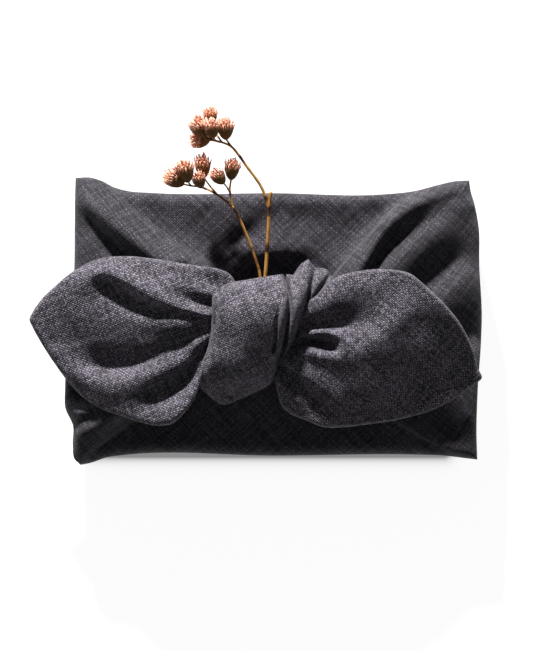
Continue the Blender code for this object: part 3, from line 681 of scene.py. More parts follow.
# %% The height of the packet's face
def wing_cover(wing, x, y):
    """1 where a wing's cloth lies, and 0 past its two edges."""
    cover = np.ones(x.shape)
    for edge in (wing.upper_edge, wing.lower_edge):
        inside = beside(drawn(edge), x, y)[1]
        cover = cover * 0.5 * (1 + np.tanh(inside / LAYER_EDGE))
    return cover


def face_height(x, y):
    """The packet's face: its fold lines and the wings' extra layer."""
    height = stretched(FACE_LINES, x, y)
    for wing in WINGS:
        height = height + LAYER * (wing_cover(wing, x, y) - 0.5)
    return height + sum(ripple(x, y, *wave) for wave in FACE_RIPPLES)


near_end = face_height(np.array([60.0]), np.array([-40.0]))
print("the face is", round(float(near_end[0]), 1), "mm high near its right end")

# %% [markdown]
# ## The packet, all round
#
# The face alone would be a lid. Its rim turns down over a small radius, the ears fade out down the sides, and
# the cloth meets the table on a flat underside. The cloth map runs on down the sides by their true depth,
# and lies at 45 degrees, because a furoshiki is folded with its corners to the packet's sides. The wings'
# cloth has its own direction. The wings are painted a little paler, with a brighter line along their edges:
# painted light where the wings' rolls and the steps at their edges face the lamp.

# %% The packet's mesh
FACE_CELLS = (229, 157)
EDGE_ROUND = 5.0
BLOCK_SQUARENESS = 12
RIM_STEPS = (0.0, 0.25, 0.7, 1.4, 2.4, 3.6)
CLOTH_BIAS = 45.0
WING_PAINTED_LIGHT = 0.05
EDGE_PAINTED_HIGHLIGHT = 0.45

SideRing = namedtuple("SideRing", "height inset ears")
SIDE_RINGS = (SideRing(0.94, -0.20, 0.95), SideRing(0.87, -0.4, 0.89), SideRing(0.79, -0.5, 0.80),
              SideRing(0.71, -0.6, 0.68), SideRing(0.63, -0.6, 0.56), SideRing(0.54, -0.5, 0.45),
              SideRing(0.45, -0.3, 0.35), SideRing(0.36, 0.0, 0.26), SideRing(0.27, 0.3, 0.18),
              SideRing(0.18, 0.8, 0.11), SideRing(0.10, 1.4, 0.05), SideRing(0.04, 2.3, 0.02),
              SideRing(0.00, 3.6, 0.00))


def edge_shares(length, count):
    """Shares along a side, closer together near both ends so that the rounded rim is smooth."""
    rim = np.array(RIM_STEPS) / length
    inner = np.linspace(EDGE_ROUND / length, 1 - EDGE_ROUND / length, count)
    return np.concatenate([rim, inner, 1 - rim[::-1]])


def build_packet():
    columns, rows = FACE_CELLS
    s, t = np.meshgrid(edge_shares(PACKET_LENGTH, columns), edge_shares(PACKET_WIDTH, rows))
    place = coons(FACE, s, t)
    high, wide = s.shape
    rim = rim_of(high, wide)
    short = np.clip(EDGE_ROUND - inset_from_rim(place, rim), 0, EDGE_ROUND)
    height = face_height(place[..., 0], place[..., 1]) - EDGE_ROUND + np.sqrt(EDGE_ROUND ** 2 - short ** 2)
    verts = [np.dstack([place, height]).reshape(-1, 3)]
    covers = [wing_cover(wing, place[..., 0], place[..., 1]) for wing in WINGS]
    bias = np.full(s.shape, CLOTH_BIAS)
    for wing, cover in zip(WINGS, covers):
        bias = np.where(cover > 0.5, wing.bias, bias)
    cover = np.max(covers, axis=0)
    # Painted light: the wings a little paler, and a painted highlight along the step at each wing edge.
    marks = [(WING_PAINTED_LIGHT * cover + EDGE_PAINTED_HIGHLIGHT * 4 * cover * (1 - cover)).ravel()]
    pressed = pressed_flat(verts[0].reshape(high, wide, 3))
    flat = np.zeros(place.shape)
    for degrees in np.unique(bias):
        flat[bias == degrees] = turned(pressed[bias == degrees], degrees)
    cloth_map = [flat.reshape(-1, 2)]
    faces = [grid_faces(high, wide)]

    rows, columns = np.array(rim).T
    rim_place, rim_height = place[rows, columns], height[rows, columns]
    along_x, along_y = 2 * s[rows, columns] - 1, 2 * t[rows, columns] - 1
    reach = np.abs(along_x) ** BLOCK_SQUARENESS + np.abs(along_y) ** BLOCK_SQUARENESS
    shrink = reach ** (-1 / BLOCK_SQUARENESS)
    outward = units(np.stack([np.gradient(rim_place[:, 1]), -np.gradient(rim_place[:, 0])], -1))
    ring = rows * wide + columns
    start = high * wide
    for level in SIDE_RINGS:
        block = np.stack([along_x * (PACKET_LENGTH / 2 - level.inset) * shrink,
                          along_y * (PACKET_WIDTH / 2 - level.inset) * shrink], -1)
        spot = block + level.ears * (rim_place - block)
        depth = rim_height * level.height
        verts.append(np.column_stack([spot, depth]))
        cloth_map.append(turned(pressed[rows, columns] + outward * (rim_height - depth)[:, None], CLOTH_BIAS))
        marks.append(WING_PAINTED_LIGHT * cover[rows, columns])
        lower = start + np.arange(len(rim))
        faces.append(band_faces(ring, lower))
        ring, start = lower, start + len(rim)
    # The underside: one point in the middle, joined to the lowest ring.
    verts.append(np.zeros((1, 3)))
    cloth_map.append(np.zeros((1, 2)))
    marks.append(np.zeros(1))
    under = np.stack([ring, np.full(len(ring), start), np.roll(ring, -1)], -1)
    everything = np.concatenate(faces).tolist() + under.tolist()
    return make_piece("packet_cloth", np.concatenate(verts), everything, np.concatenate(cloth_map),
                      drawn_linen, np.concatenate(marks))


packet_cloth = build_packet()
print("packet:", len(packet_cloth.data.polygons), "faces")

# %% [markdown]
# ## The knot and the bunch behind it
#
# A knot is cloth gathered so tightly that it reads as one rounded body with pleats. It starts as a dome over
# its outline: rings of points shrink towards the middle, and the height rises on them as on a round-cornered
# box. Pleats are then added to the dome. Its cloth map is laid out by true length from the middle.

# %% Outlines and pleats of the knot and the bunch
Lump = namedtuple("Lump", "name bias outline middle crest_by_y under_by_y roundness folds")
KNOT = Lump(
    name="knot_cloth",
    bias=-28.0,
    outline=((2.5, 22), (-7.1, 20.6), (-14, 19.4), (-21.3, 17.9), (-27.6, 13.9), (-28.4, 7), (-28.6, 0.6),
             (-30, -8.9), (-33.4, -18.9), (-34.4, -26.4), (-30.5, -30.6), (-23.6, -35.2), (-16.1, -32.6),
             (-9, -29.4), (-2.6, -25.6), (0.6, -17.6), (4.9, -11.4), (8.4, -4), (10.7, 3.4),
             (12.9, 12), (13.2, 18), (8.6, 21.2)),
    middle=(-11.5, -2),
    crest_by_y=((-36, 49), (-26, 57), (-8, 64.5), (8, 67.5), (22, 60)),
    under_by_y=((-36, 41), (-20, 41), (0, 42), (12, 47.5), (22, 51)),
    roundness=3.0,
    folds=(
        Fold("right pleat", ((9.6, 20), (9.6, 12), (8.2, 3), (6.4, -4), (3.6, -12)),
             (1.6, 1), (2.2, 1.8), (2, 1.6)),
        Fold("right groove", ((3.4, 21.5), (5.3, 14), (5.4, 6), (4.5, -1.5), (3.2, -9), (0.4, -17)),
             (-5.4, -4.6), (0.7, 0.8), (1.1, 1.1), 2.2),
        Fold("right groove shoulder", ((0.8, 20.5), (2.4, 13), (2.6, 6), (1.9, -1.5)), (1.6, 1),
             (1.8, 1.8), (2.6, 2.6)),
        Fold("inner groove", ((1.9, 12.5), (0.4, 4), (-0.5, -4), (-1.6, -11)), (-0.4, -3.4), (0.9, 0.9),
             (1.1, 1.1)),
        Fold("middle swell", ((-12, 17), (-12.5, 2), (-18, -22)), (1.2, 1.4), (7, 6.5), (7, 6.5)),
        Fold("left groove", ((-25.4, 15.5), (-25.8, 8), (-26.8, 0)), (-2, -1), (1.1, 1.1), (1.2, 1.2)),
        Fold("left low groove", ((-30.2, -13), (-31.8, -20), (-31.4, -27)), (-0.9, -1.4), (1.1, 1.1),
             (1.4, 1.4)),
        Fold("tip dimple", ((-15, -25), (-18, -28.5), (-20, -31)), (-0.6, -2), (2, 1.6),
             (2, 1.6)),
    ),
)
BUNCH = Lump(
    name="bunch_cloth",
    bias=20.0,
    outline=((13.6, 28.6), (10.6, 26.6), (7.6, 22.4), (5, 12), (6, 4), (13, 4),
             (20, 9), (24.6, 15.4), (24.2, 20.6), (20.6, 24.6), (17.4, 24.8)),
    middle=(14, 15),
    crest_by_y=((4, 54), (16, 58.5), (28, 54)),
    under_by_y=((4, 38), (18, 39), (28, 45)),
    roundness=2.4,
    folds=(
        Fold("first cleft", ((17.6, 27), (15.6, 19), (13.4, 10)), (-4, -4), (1, 1.2), (1.3, 1.5), 1.8),
        Fold("first ridge", ((13.4, 27), (11.6, 20), (10, 12)), (1, 1), (1.8, 1.8), (2, 2)),
        Fold("second cleft", ((23.6, 22), (20.4, 17.4), (16.6, 11)), (-2.6, -2.4), (1, 1.2), (1.2, 1.4),
             1.8),
    ),
)
for lump in (KNOT, BUNCH):
    print(lump.name, "has", len(lump.folds), "pleats")

# %% Rounded bodies of gathered cloth
FOLD_AT_RIM = 0.35
LUMP_RIPPLE = (11.0, 0.5, 5.5)
SAME_PLACE = 1e-6


def build_lump(lump, around, upper_rings, lower_rings):
    """A rounded body over an outline, its crest and underside following the lump's own lines."""
    rim = curve(lump.outline + lump.outline[:1], np.linspace(0, 1, around, endpoint=False))
    middle = np.array(lump.middle)

    def ring_at(share, upper):
        place = middle + share * (rim - middle)
        crest = profile(lump.crest_by_y, place[:, 1])
        under = profile(lump.under_by_y, place[:, 1])
        waist = (crest + under) / 2
        dome = (1 - share ** lump.roundness) ** (1 / lump.roundness)
        if not upper:
            return np.column_stack([place, waist - (waist - under) * dome])
        folds = sum(fold_height(fold, place[:, 0], place[:, 1]) for fold in lump.folds)
        uneven = ripple(place[:, 0], place[:, 1], *LUMP_RIPPLE)
        height = waist + (crest - waist) * dome + (folds + uneven) * min(1.0, FOLD_AT_RIM + dome)
        return np.column_stack([place, height])

    crest_reach = np.sin(np.linspace(0, math.pi / 2, upper_rings + 1))
    under_reach = np.sin(np.linspace(0, math.pi / 2, lower_rings + 1))[:-1]
    rings = [ring_at(share, True) for share in crest_reach]
    rings += [ring_at(share, False) for share in under_reach[::-1]]
    rings = np.array(rings)
    steps = np.linalg.norm(np.diff(rings, axis=0), axis=2)
    reach = np.concatenate([np.zeros((1, around)), np.cumsum(steps, axis=0)])
    flat = turned((middle + units(rim - middle)[None] * reach[..., None]).reshape(-1, 2), lump.bias)

    number = np.arange(len(rings) * around).reshape(len(rings), around)
    faces = np.concatenate([band_faces(inner, outer) for inner, outer in zip(number, number[1:])])
    piece = make_piece(lump.name, rings.reshape(-1, 3), faces.tolist(), flat, linen)
    # The first and the last ring are single points, so their copies are merged.
    closed = bmesh.new()
    closed.from_mesh(piece.data)
    bmesh.ops.remove_doubles(closed, verts=closed.verts, dist=SAME_PLACE)
    closed.to_mesh(piece.data)
    closed.free()
    return piece


knot_cloth = build_lump(KNOT, around=300, upper_rings=90, lower_rings=24)
bunch_cloth = build_lump(BUNCH, around=140, upper_rings=46, lower_rings=14)
print("knot:", len(knot_cloth.data.polygons), "faces, bunch:", len(bunch_cloth.data.polygons))

# %% [markdown]
# ## The tails
#
# Each tail is a free corner of the cloth, gathered at the knot and spread like a leaf. It is drawn by its
# ridges and valleys: each fold line has its own heights along its length, and one smooth surface is stretched
# over them all, as on the face. The sheet then gets its real thickness, a rolled rim and, where the cloth's
# edge shows, a hem that lies slightly higher. The rim and the hem carry a painted highlight.

# %% Fold lines of the left tail
Tail = namedtuple("Tail", "name bias patch rim_round hem lines")
LEFT_LINES = (
    FoldLine("upper outline", 1.6, (
        (-18.6, 17.6, 53.4), (-22, 21.2, 54), (-30, 23.6, 55), (-38, 24.8, 55.8), (-45, 25.8, 56.2),
        (-54, 27.2, 55.9), (-66, 28.2, 54.3), (-79, 26.6, 51.6), (-90, 20.6, 49), (-101, 11.2, 46.4))),
    FoldLine("root fold", 1.2, ((-23, 15.4, 53.8), (-28, 16.8, 54.6), (-34, 18.6, 56), (-40, 20.4, 57.2))),
    FoldLine("upper band", 2.0, (
        (-26, 13, 56.5), (-36, 15.4, 58.2), (-45, 17, 59.2), (-55, 19.6, 59), (-65, 23.6, 57))),
    FoldLine("upper edge", 1.3, (
        (-22, 2.6, 55.5), (-29.6, 3.4, 57.8), (-36.2, 5.2, 59.8), (-45.7, 7.4, 61.2), (-55.2, 11.2, 61.5),
        (-62.8, 16.6, 60.5), (-69.4, 20.4, 58.5), (-74.1, 22.8, 56.8), (-79.8, 21.9, 54.6),
        (-86, 17.4, 51.8))),
    FoldLine("small pleat", 0.8, (
        (-24, 8, 53), (-29.6, 8.6, 54), (-34.3, 9.4, 55.4), (-40, 10.6, 57.8), (-44.3, 12.8, 59))),
    FoldLine("high hollow", 0.8, (
        (-24, 1.8, 54.5), (-30, 2.4, 56.1), (-38, 3.8, 57.9), (-45.7, 5, 58.3), (-52, 6.2, 56.8),
        (-59, 8.4, 54.5), (-66, 12.6, 53), (-72, 16.4, 52.3), (-77.5, 18.8, 52.8))),
    FoldLine("middle ridge", 2.4, (
        (-24, 0, 53.3), (-31, 0.6, 55.4), (-38, 1.2, 57.9), (-46, 1.6, 59.2), (-55, 1.8, 57.8),
        (-62, 3, 55.8), (-70, 6, 53.3), (-80, 9.4, 51.2), (-92, 9, 48.6))),
    FoldLine("ridge side", 2.2, (
        (-38, -2.4, 57), (-46, -3.6, 57.8), (-55, -4, 56.5), (-64, -3.6, 54.1), (-74, -2.4, 50.7),
        (-86, -2, 47.2))),
    FoldLine("hollow side", 2.0, (
        (-47, -7.4, 55.9), (-55, -9.2, 54.5), (-64, -10.6, 51.3), (-74, -10.4, 47.5), (-86, -8, 45.4))),
    FoldLine("great hollow", 0.8, (
        (-23, -1.6, 53.2), (-30, -2.8, 54), (-36, -5.2, 54.2), (-42, -8.8, 54.2), (-48, -11.6, 54.2),
        (-55, -13.9, 51.7), (-61, -16.1, 48.8), (-67.5, -18.4, 45.8), (-74, -19.2, 43.5), (-80, -18.8, 42.7),
        (-85, -17.2, 43.2), (-91, -13.8, 44.6), (-97, -12, 45))),
    FoldLine("low ridge", 2.2, (
        (-28, -4.8, 54.6), (-33, -8.4, 55.6), (-39, -12.8, 56.2), (-45.7, -17, 56.2), (-53, -20, 55.4),
        (-60, -22.8, 53.2), (-66.5, -24.6, 50.9), (-74, -24.8, 48.2), (-83.6, -22.8, 45.8), (-90, -18.6, 45),
        (-97, -15.8, 43.8))),
    FoldLine("low side", 2.0, (
        (-35, -14.8, 53.6), (-42, -20.4, 53.2), (-50, -25.2, 52.8), (-60, -29.2, 51.4), (-70, -31, 48.9),
        (-80, -28.6, 46.1), (-89, -22.8, 44.8))),
    FoldLine("low valley", 0.8, (
        (-27, -5.8, 52.7), (-30.5, -9.2, 51.9), (-34.8, -14.2, 50.5), (-39.4, -20.4, 49.3),
        (-44.2, -25.2, 48.9), (-49.8, -29.8, 49.1), (-55.4, -33.2, 49.3), (-60, -35.4, 49.2))),
    FoldLine("lower rim", 1.4, (
        (-25, -10, 51.5), (-32, -19, 53), (-37.2, -26.8, 53.6), (-43.5, -33.4, 53.6), (-50.5, -38, 52.5),
        (-59, -40, 49.4), (-66, -38.8, 47.5), (-74, -35.8, 45.3), (-84, -30.4, 43.5), (-94, -20.6, 43.8))),
    FoldLine("left rim", 2.0, ((-101, 8, 46.2), (-105.6, 1.8, 44.9), (-100, -8, 43.7))),
)
LEFT_TAIL = Tail(
    name="left_tail",
    bias=-22.0,
    patch=Patch(
        lower=((-99.4, -14.9), (-91.8, -25.3), (-84.3, -32.9), (-76.7, -37.4), (-68.2, -40.2), (-60.6, -42.6),
               (-53, -44.2), (-45.6, -43.2), (-41.2, -39.4), (-36.4, -33), (-30.6, -19), (-20, -8)),
        upper=((-102.2, 12.6), (-89, 23.5), (-78.6, 28.6), (-64.4, 29.8), (-53, 28.6), (-42, 26.8),
               (-33, 25.4), (-26, 24.4), (-20.6, 22), (-17.6, 17.6)),
        left=((-99.4, -14.9), (-104.2, -7.2), (-107.6, -0.8), (-108.8, 2.2), (-107.3, 5.6), (-102.2, 12.6)),
        right=((-20, -8), (-17.6, 17.6)),
    ),
    rim_round=2.4,
    hem=(),
    lines=LEFT_LINES,
)
print(LEFT_TAIL.name, "has", len(LEFT_TAIL.lines), "fold lines")

# %% Fold lines of the right tail
RIGHT_LINES = (
    FoldLine("upper outline", 1.6, (
        (4, 5.8, 56.5), (15.7, 10.6, 58), (26.6, 19.4, 58.6), (36, 21.8, 58.6), (46, 22.8, 58.4),
        (56, 21.4, 58.2), (64, 16.4, 57.4), (72, 8.6, 55.8), (79, 0, 51.8), (85, -10, 46.4))),
    FoldLine("upper crest", 2.0, (
        (5, -0.5, 55.5), (11.8, 3.4, 57.6), (16.8, 7.6, 58.9), (22.7, 12.8, 59.8), (29.6, 17, 59.8),
        (36.6, 18.8, 59.5), (44.5, 18.2, 59.2))),
    FoldLine("crest side", 2.0, (
        (17.7, 2.7, 57), (24.7, 4.6, 57), (32.6, 6.6, 57.1), (40.6, 8.2, 57.5), (48.5, 12, 58.1))),
    FoldLine("high valley", 0.8, (
        (5, -2.8, 52.5), (8.8, -2.2, 53), (14.8, -1.4, 53.4), (20.7, -1, 54), (27.7, -0.8, 54.6),
        (34.6, 0.4, 55.4), (41.5, 3, 56.7))),
    FoldLine("upper lip", 0.8, (
        (7, -5.6, 53.6), (11.8, -5, 56.6), (15.8, -3.8, 58.2), (20.7, -3.4, 58.8), (25.7, -4.2, 59.2),
        (29, -6.6, 59.3), (28.7, -10, 59.3))),
    FoldLine("pocket", 0.6, (
        (6, -7.4, 50), (11.8, -7.4, 48.8), (16.8, -8, 48.6), (21.7, -9.2, 50), (24.7, -10.9, 54.5))),
    FoldLine("lower lip", 1.2, (
        (7, -12, 53), (9.8, -11.3, 55), (13.3, -10.3, 56.8), (18.7, -11.9, 58), (23.7, -13.3, 58.6),
        (29.6, -12.6, 59.2), (36.6, -10.1, 59.2), (43.5, -6.2, 59), (50.5, -0.2, 58.7), (56.4, 5.7, 58.2))),
    FoldLine("lip foot", 1.8, ((6, -14.6, 54.2), (9.3, -15, 55.6), (16.8, -16.6, 57.2), (26.7, -16.6, 58.2))),
    FoldLine("right face", 2.6, ((52, -4, 57.3), (60, 1, 55.8), (70, -2, 52), (79, -9, 47.8))),
    FoldLine("lower face", 2.6, (
        (24, -22.6, 55.8), (36, -19, 56.6), (46, -15, 55.9), (58, -12, 52.6), (70, -12, 48.6))),
    FoldLine("lower middle", 2.4, (
        (30, -32, 52.6), (42, -29.4, 51.8), (54, -26, 48.4), (66, -23, 45.2), (78, -19.6, 43.2))),
    FoldLine("wedge brow", 0.9, (
        (2, -16.8, 54.4), (5.8, -19, 55), (10.8, -22.4, 55.2), (16.8, -27.2, 54.6), (21.6, -31.6, 53.2),
        (25.7, -35.6, 51.6))),
    FoldLine("wedge", 0.6, (
        (0.9, -18.6, 50.8), (3.6, -22, 50.4), (8.4, -26.8, 50.2), (13.4, -31.8, 50), (18.6, -36.6, 49.6))),
    FoldLine("corner face", 1.2, ((0.8, -23.6, 53.4), (4.6, -28.4, 53.6), (9.6, -33.8, 52.6))),
    FoldLine("lower rim", 1.4, (
        (-1.5, -22, 52), (1, -29, 51.6), (4, -35, 50.4), (8.6, -38.8, 49.7), (14, -41.4, 49),
        (22, -43.6, 48.2), (40, -42.4, 46), (56, -39.6, 42.8), (70, -35.4, 40.2), (84, -27, 39.6))),
)
RIGHT_OUTLINE = Patch(
    lower=((-5, -15), (-1, -24), (0.4, -31), (2.4, -36.2), (6.4, -39.4), (12.4, -41.8),
           (20.7, -45), (30.6, -44.9), (40, -43.8), (50.4, -42.4), (60.3, -40.2), (68.3, -37.8),
           (76.2, -33.8), (82, -30), (86.8, -26.6)),
    upper=((4, 6), (10, 8.6), (15.7, 11.6), (21.7, 17.6), (26.6, 20.9), (33.6, 22.9), (43.5, 24.1),
           (52.4, 23.6), (57.8, 22.2), (62.3, 18.9), (67.3, 14.4), (73.2, 8.7), (79.2, 1.6), (83.3, -5.2),
           (86.3, -12.1), (88.4, -19.4)),
    left=((-5, -15), (4, 6)),
    right=((86.8, -26.6), (90.2, -23.4), (88.4, -19.4)),
)
RIGHT_TAIL = Tail(
    name="right_tail",
    bias=38.0,
    patch=RIGHT_OUTLINE,
    rim_round=1.6,
    hem=RIGHT_OUTLINE.upper[7:] + RIGHT_OUTLINE.right[1:2] + RIGHT_OUTLINE.lower[:1:-1],
    lines=RIGHT_LINES,
)
print(RIGHT_TAIL.name, "has", len(RIGHT_TAIL.lines), "fold lines and", len(RIGHT_TAIL.hem), "points of hem")

# %% The tails' sheets
TAIL_CELLS = (241, 169)
SHEET = 1.1
HEM_WIDTH = 5.2
HEM_RISE = 0.12
HEM_EDGE = 0.6
HEM_STEPS = 112
ROWS_AT_RIM = 1.25
RIM_PAINTED_HIGHLIGHT = 0.35
RIM_HIGHLIGHT_WIDTH = 0.6
HEM_HIGHLIGHT_WIDTH = 0.7
TAIL_RIPPLES = ((14.0, 0.3, 2.2), (5.0, 0.08, 6.4))


def hem_distance(tail, x, y):
    """How far each place lies from the cloth's own cut edge."""
    return np.abs(beside(drawn(tail.hem, HEM_STEPS), x, y)[1])


def build_tail(tail):
    """One sheet over the tail's patch, its rim rounded down, its underside one cloth lower."""
    columns, rows = TAIL_CELLS
    s, t = np.meshgrid(*[0.5 + 0.5 * np.sin(ROWS_AT_RIM * np.linspace(-1, 1, count)) / math.sin(ROWS_AT_RIM)
                         for count in TAIL_CELLS])
    rim = rim_of(rows, columns)
    outer = coons(tail.patch, s, t)
    long, tall = np.ptp(outer[..., 0]), np.ptp(outer[..., 1])
    # Painted highlight along the rolled rim and, below, along the raised hem.
    edge = np.exp(-(inset_from_rim(outer, rim) / RIM_HIGHLIGHT_WIDTH) ** 2) * RIM_PAINTED_HIGHLIGHT
    if tail.hem:
        from_hem = hem_distance(tail, outer[..., 0], outer[..., 1])
        edge = np.maximum(edge, np.exp(-(from_hem / HEM_HIGHLIGHT_WIDTH) ** 2))
    layers = []
    for thick in (0.0, SHEET):
        margin_s, margin_t = 0.5 * thick / long, 0.5 * thick / tall
        place = coons(tail.patch, margin_s + s * (1 - 2 * margin_s), margin_t + t * (1 - 2 * margin_t))
        x, y = place[..., 0], place[..., 1]
        inset = thick / 2 + inset_from_rim(place, rim)
        bend = tail.rim_round - thick / 2
        short = np.clip(tail.rim_round - inset, 0, bend)
        height = stretched(tail.lines, x, y) - tail.rim_round + np.sqrt(bend ** 2 - short ** 2) - thick / 2
        if tail.hem and not thick:
            past_hem = (hem_distance(tail, x, y) - HEM_WIDTH) / HEM_EDGE
            height = height + HEM_RISE * 0.5 * (1 - np.tanh(past_hem))
        height = height + sum(ripple(x, y, *wave) for wave in TAIL_RIPPLES)
        layers.append(np.dstack([place, height]))
    flat = turned(pressed_flat(layers[0]).reshape(-1, 2), tail.bias)

    squares = grid_faces(rows, columns)
    under = rows * columns
    ring = np.array([r * columns + c for r, c in rim])
    walls = band_faces(ring, ring + under)
    faces = np.concatenate([squares, squares[:, ::-1] + under, walls]).tolist()
    verts = np.concatenate([layer.reshape(-1, 3) for layer in layers])
    return make_piece(tail.name, verts, faces, np.concatenate([flat, flat]), hemmed_linen,
                      np.concatenate([edge.ravel(), edge.ravel()]))


left_tail = build_tail(LEFT_TAIL)
right_tail = build_tail(RIGHT_TAIL)
for piece in (left_tail, right_tail):
    area = sum(face.area for face in piece.data.polygons) / 2
    print(piece.name, len(piece.data.polygons), "faces, one side", round(area * 1e6), "square mm")

# %% [markdown]
# ## Repeating small things with Geometry Nodes
#
# Stitches, threads and petals are small shapes set out many times. Geometry Nodes can place a copy on every
# point of a mesh, turned as an attribute of the point says, with a little chance in its size. The group is
# given its inputs, it is run, and its result becomes a plain mesh. The shapes themselves are short closed
# tubes, as the stalks and the heads' cores will be, so one function makes the faces of them all.

# %% A node group that sets a shape out on points
def scatter_group():
    """Copies of Shape on the mesh's points, turned by "turn" and sized by "size" with a random spread."""
    group = bpy.data.node_groups.new("set_out_on_points", "GeometryNodeTree")
    inputs = {"Points": "Geometry", "Shape": "Object", "Finish": "Material", "Size Spread": "Float",
              "Seed": "Int"}
    for name, kind in inputs.items():
        group.interface.new_socket(name, in_out="INPUT", socket_type="NodeSocket" + kind)
    group.interface.new_socket("Copies", in_out="OUTPUT", socket_type="NodeSocketGeometry")
    tree = Wire(group)

    def carried(name, kind):
        return tree.node("GeometryNodeInputNamedAttribute", {"data_type": kind}, {"Name": name})

    def chance(low, high, seed):
        return tree.node("FunctionNodeRandomValue", {"data_type": "FLOAT"}, {2: low, 3: high, 8: seed}, 1)

    given = tree.node("NodeGroupInput", {}, {}).socket.node.outputs
    points, shape, finish, spread, seed = [Wire(group, socket) for socket in list(given)[:len(inputs)]]
    copy = tree.node("GeometryNodeObjectInfo", {}, {"Object": shape}, "Geometry")
    size = carried("size", "FLOAT") * chance(1.0 - spread, 1.0 + spread, seed)
    shade = chance(0.0, 1.0, seed + 1)
    copies = tree.node("GeometryNodeInstanceOnPoints", {},
                       {"Points": points, "Instance": copy, "Rotation": carried("turn", "FLOAT_VECTOR"),
                        "Scale": size})
    copies = tree.node("GeometryNodeStoreNamedAttribute", {"data_type": "FLOAT", "domain": "INSTANCE"},
                       {"Geometry": copies, "Name": "shade", "Value": shade})
    real = tree.node("GeometryNodeRealizeInstances", {}, {0: copies})
    real = tree.node("GeometryNodeSetMaterial", {}, {"Geometry": real, "Material": finish})
    tree.node("NodeGroupOutput", {}, {0: real})
    return group


SET_OUT = scatter_group()
print("node group ready:", len(SET_OUT.nodes), "nodes")

# %% Running the group
def set_out(name, places, turns, sizes, shape, finish, spread, seed, marks=()):
    """Run the group on a mesh of points, in metres, and keep the result as a plain mesh object."""
    mesh = bpy.data.meshes.new(name)
    mesh.from_pydata([tuple(place) for place in places], [], [])
    mesh.attributes.new("turn", "FLOAT_VECTOR", "POINT").data.foreach_set("vector", np.ravel(turns))
    for mark, values in (("size", sizes), *marks):
        mark_points(mesh, mark, values)
    thing = add_object(name, mesh)
    layout = thing.modifiers.new("set out", "NODES")
    layout.node_group = SET_OUT
    values = {"Shape": shape, "Finish": finish, "Size Spread": spread, "Seed": seed}
    for item in SET_OUT.interface.items_tree:
        if item.in_out == "INPUT" and item.name in values:
            layout[item.identifier] = values[item.name]
    evaluated = thing.evaluated_get(bpy.context.evaluated_depsgraph_get())
    result = bpy.data.meshes.new_from_object(evaluated)
    thing.modifiers.remove(layout)
    thing.data = result
    result.name = name
    return thing


print("inputs:", [item.name for item in SET_OUT.interface.items_tree if item.in_out == "INPUT"])

# %% Small closed tubes
STRIP_SIDES = 6


def round_turns(sides):
    """The cosine and sine of even turns round a circle."""
    angles = [2 * math.pi * side / sides for side in range(sides)]
    return [(math.cos(angle), math.sin(angle)) for angle in angles]


def tube_faces(rings, sides, start=0):
    """The faces round a tube of rings and over its two ends, from the number of its first point."""
    faces = []
    for near in range(start, start + (rings - 1) * sides, sides):
        for side in range(sides):
            after = (side + 1) % sides
            faces.append((near + side, near + sides + side, near + sides + after, near + after))
    end = start + rings * sides
    return faces + [tuple(range(start, start + sides)), tuple(range(end - 1, end - sides - 1, -1))]


def strip_shape(name, stations):
    """A small blade or bead for copying: rings of (along, half width, half thickness, lift), closed."""
    verts = [(along_x, wide * cos, lift + thick * sin)
             for along_x, wide, thick, lift in stations for cos, sin in round_turns(STRIP_SIDES)]
    mesh = bpy.data.meshes.new(name)
    mesh.from_pydata(verts, [], tube_faces(len(stations), STRIP_SIDES))
    reach = np.array([along_x for along_x, _, _ in verts])
    mark_points(mesh, "ripe", (reach - reach.min()) / np.ptp(reach))
    mesh.shade_smooth()
    return bpy.data.objects.new(name, mesh)


print("a tube of 2 rings and 6 sides has", len(tube_faces(2, 6)), "faces")

# %% [markdown]
# ## The hem's stitches
#
# The cut edge of the cloth is folded back and sewn down. Each stitch is a small bead of thread, and one
# every 3.3 mm follows the hem's inner line, where the hem runs along the tail's lower rim. Points are walked
# along the line at equal steps, put down on the sheet, and each bead is turned along the line.

# %% Stitches along the hem
STITCH_STEP = 3.3
STITCH_LENGTH = 2.3
STITCH_WIDTH = 0.42
STITCHES_BELOW = -29.0
STITCH_INSET = 4.3
STITCH_LIFT = 0.00008
STITCH_MARGIN = 2.0
RAY_HEIGHT = 0.2


def surface_point(piece, x, y):
    """Where a straight line down from above meets a piece, and which way the surface faces there."""
    hit, place, normal, _ = piece.ray_cast(Vector((x * MM, y * MM, RAY_HEIGHT)), Vector((0, 0, -1)))
    return (place, normal) if hit else (None, None)


def lying_along(ahead, normal):
    """The turn that lays a shape's X along a line and its Z off the surface."""
    side = normal.cross(ahead).normalized()
    ahead = side.cross(normal).normalized()
    return Matrix((ahead, side, normal)).transposed().to_euler()


thread_finish, shader, start = new_material("pale_thread", 0.75)
thread_color = start.marked("shade").tint((0.08, 0.073, 0.077, 1.0), (0.17, 0.156, 0.16, 1.0))
feed(shader, "Base Color", thread_color)

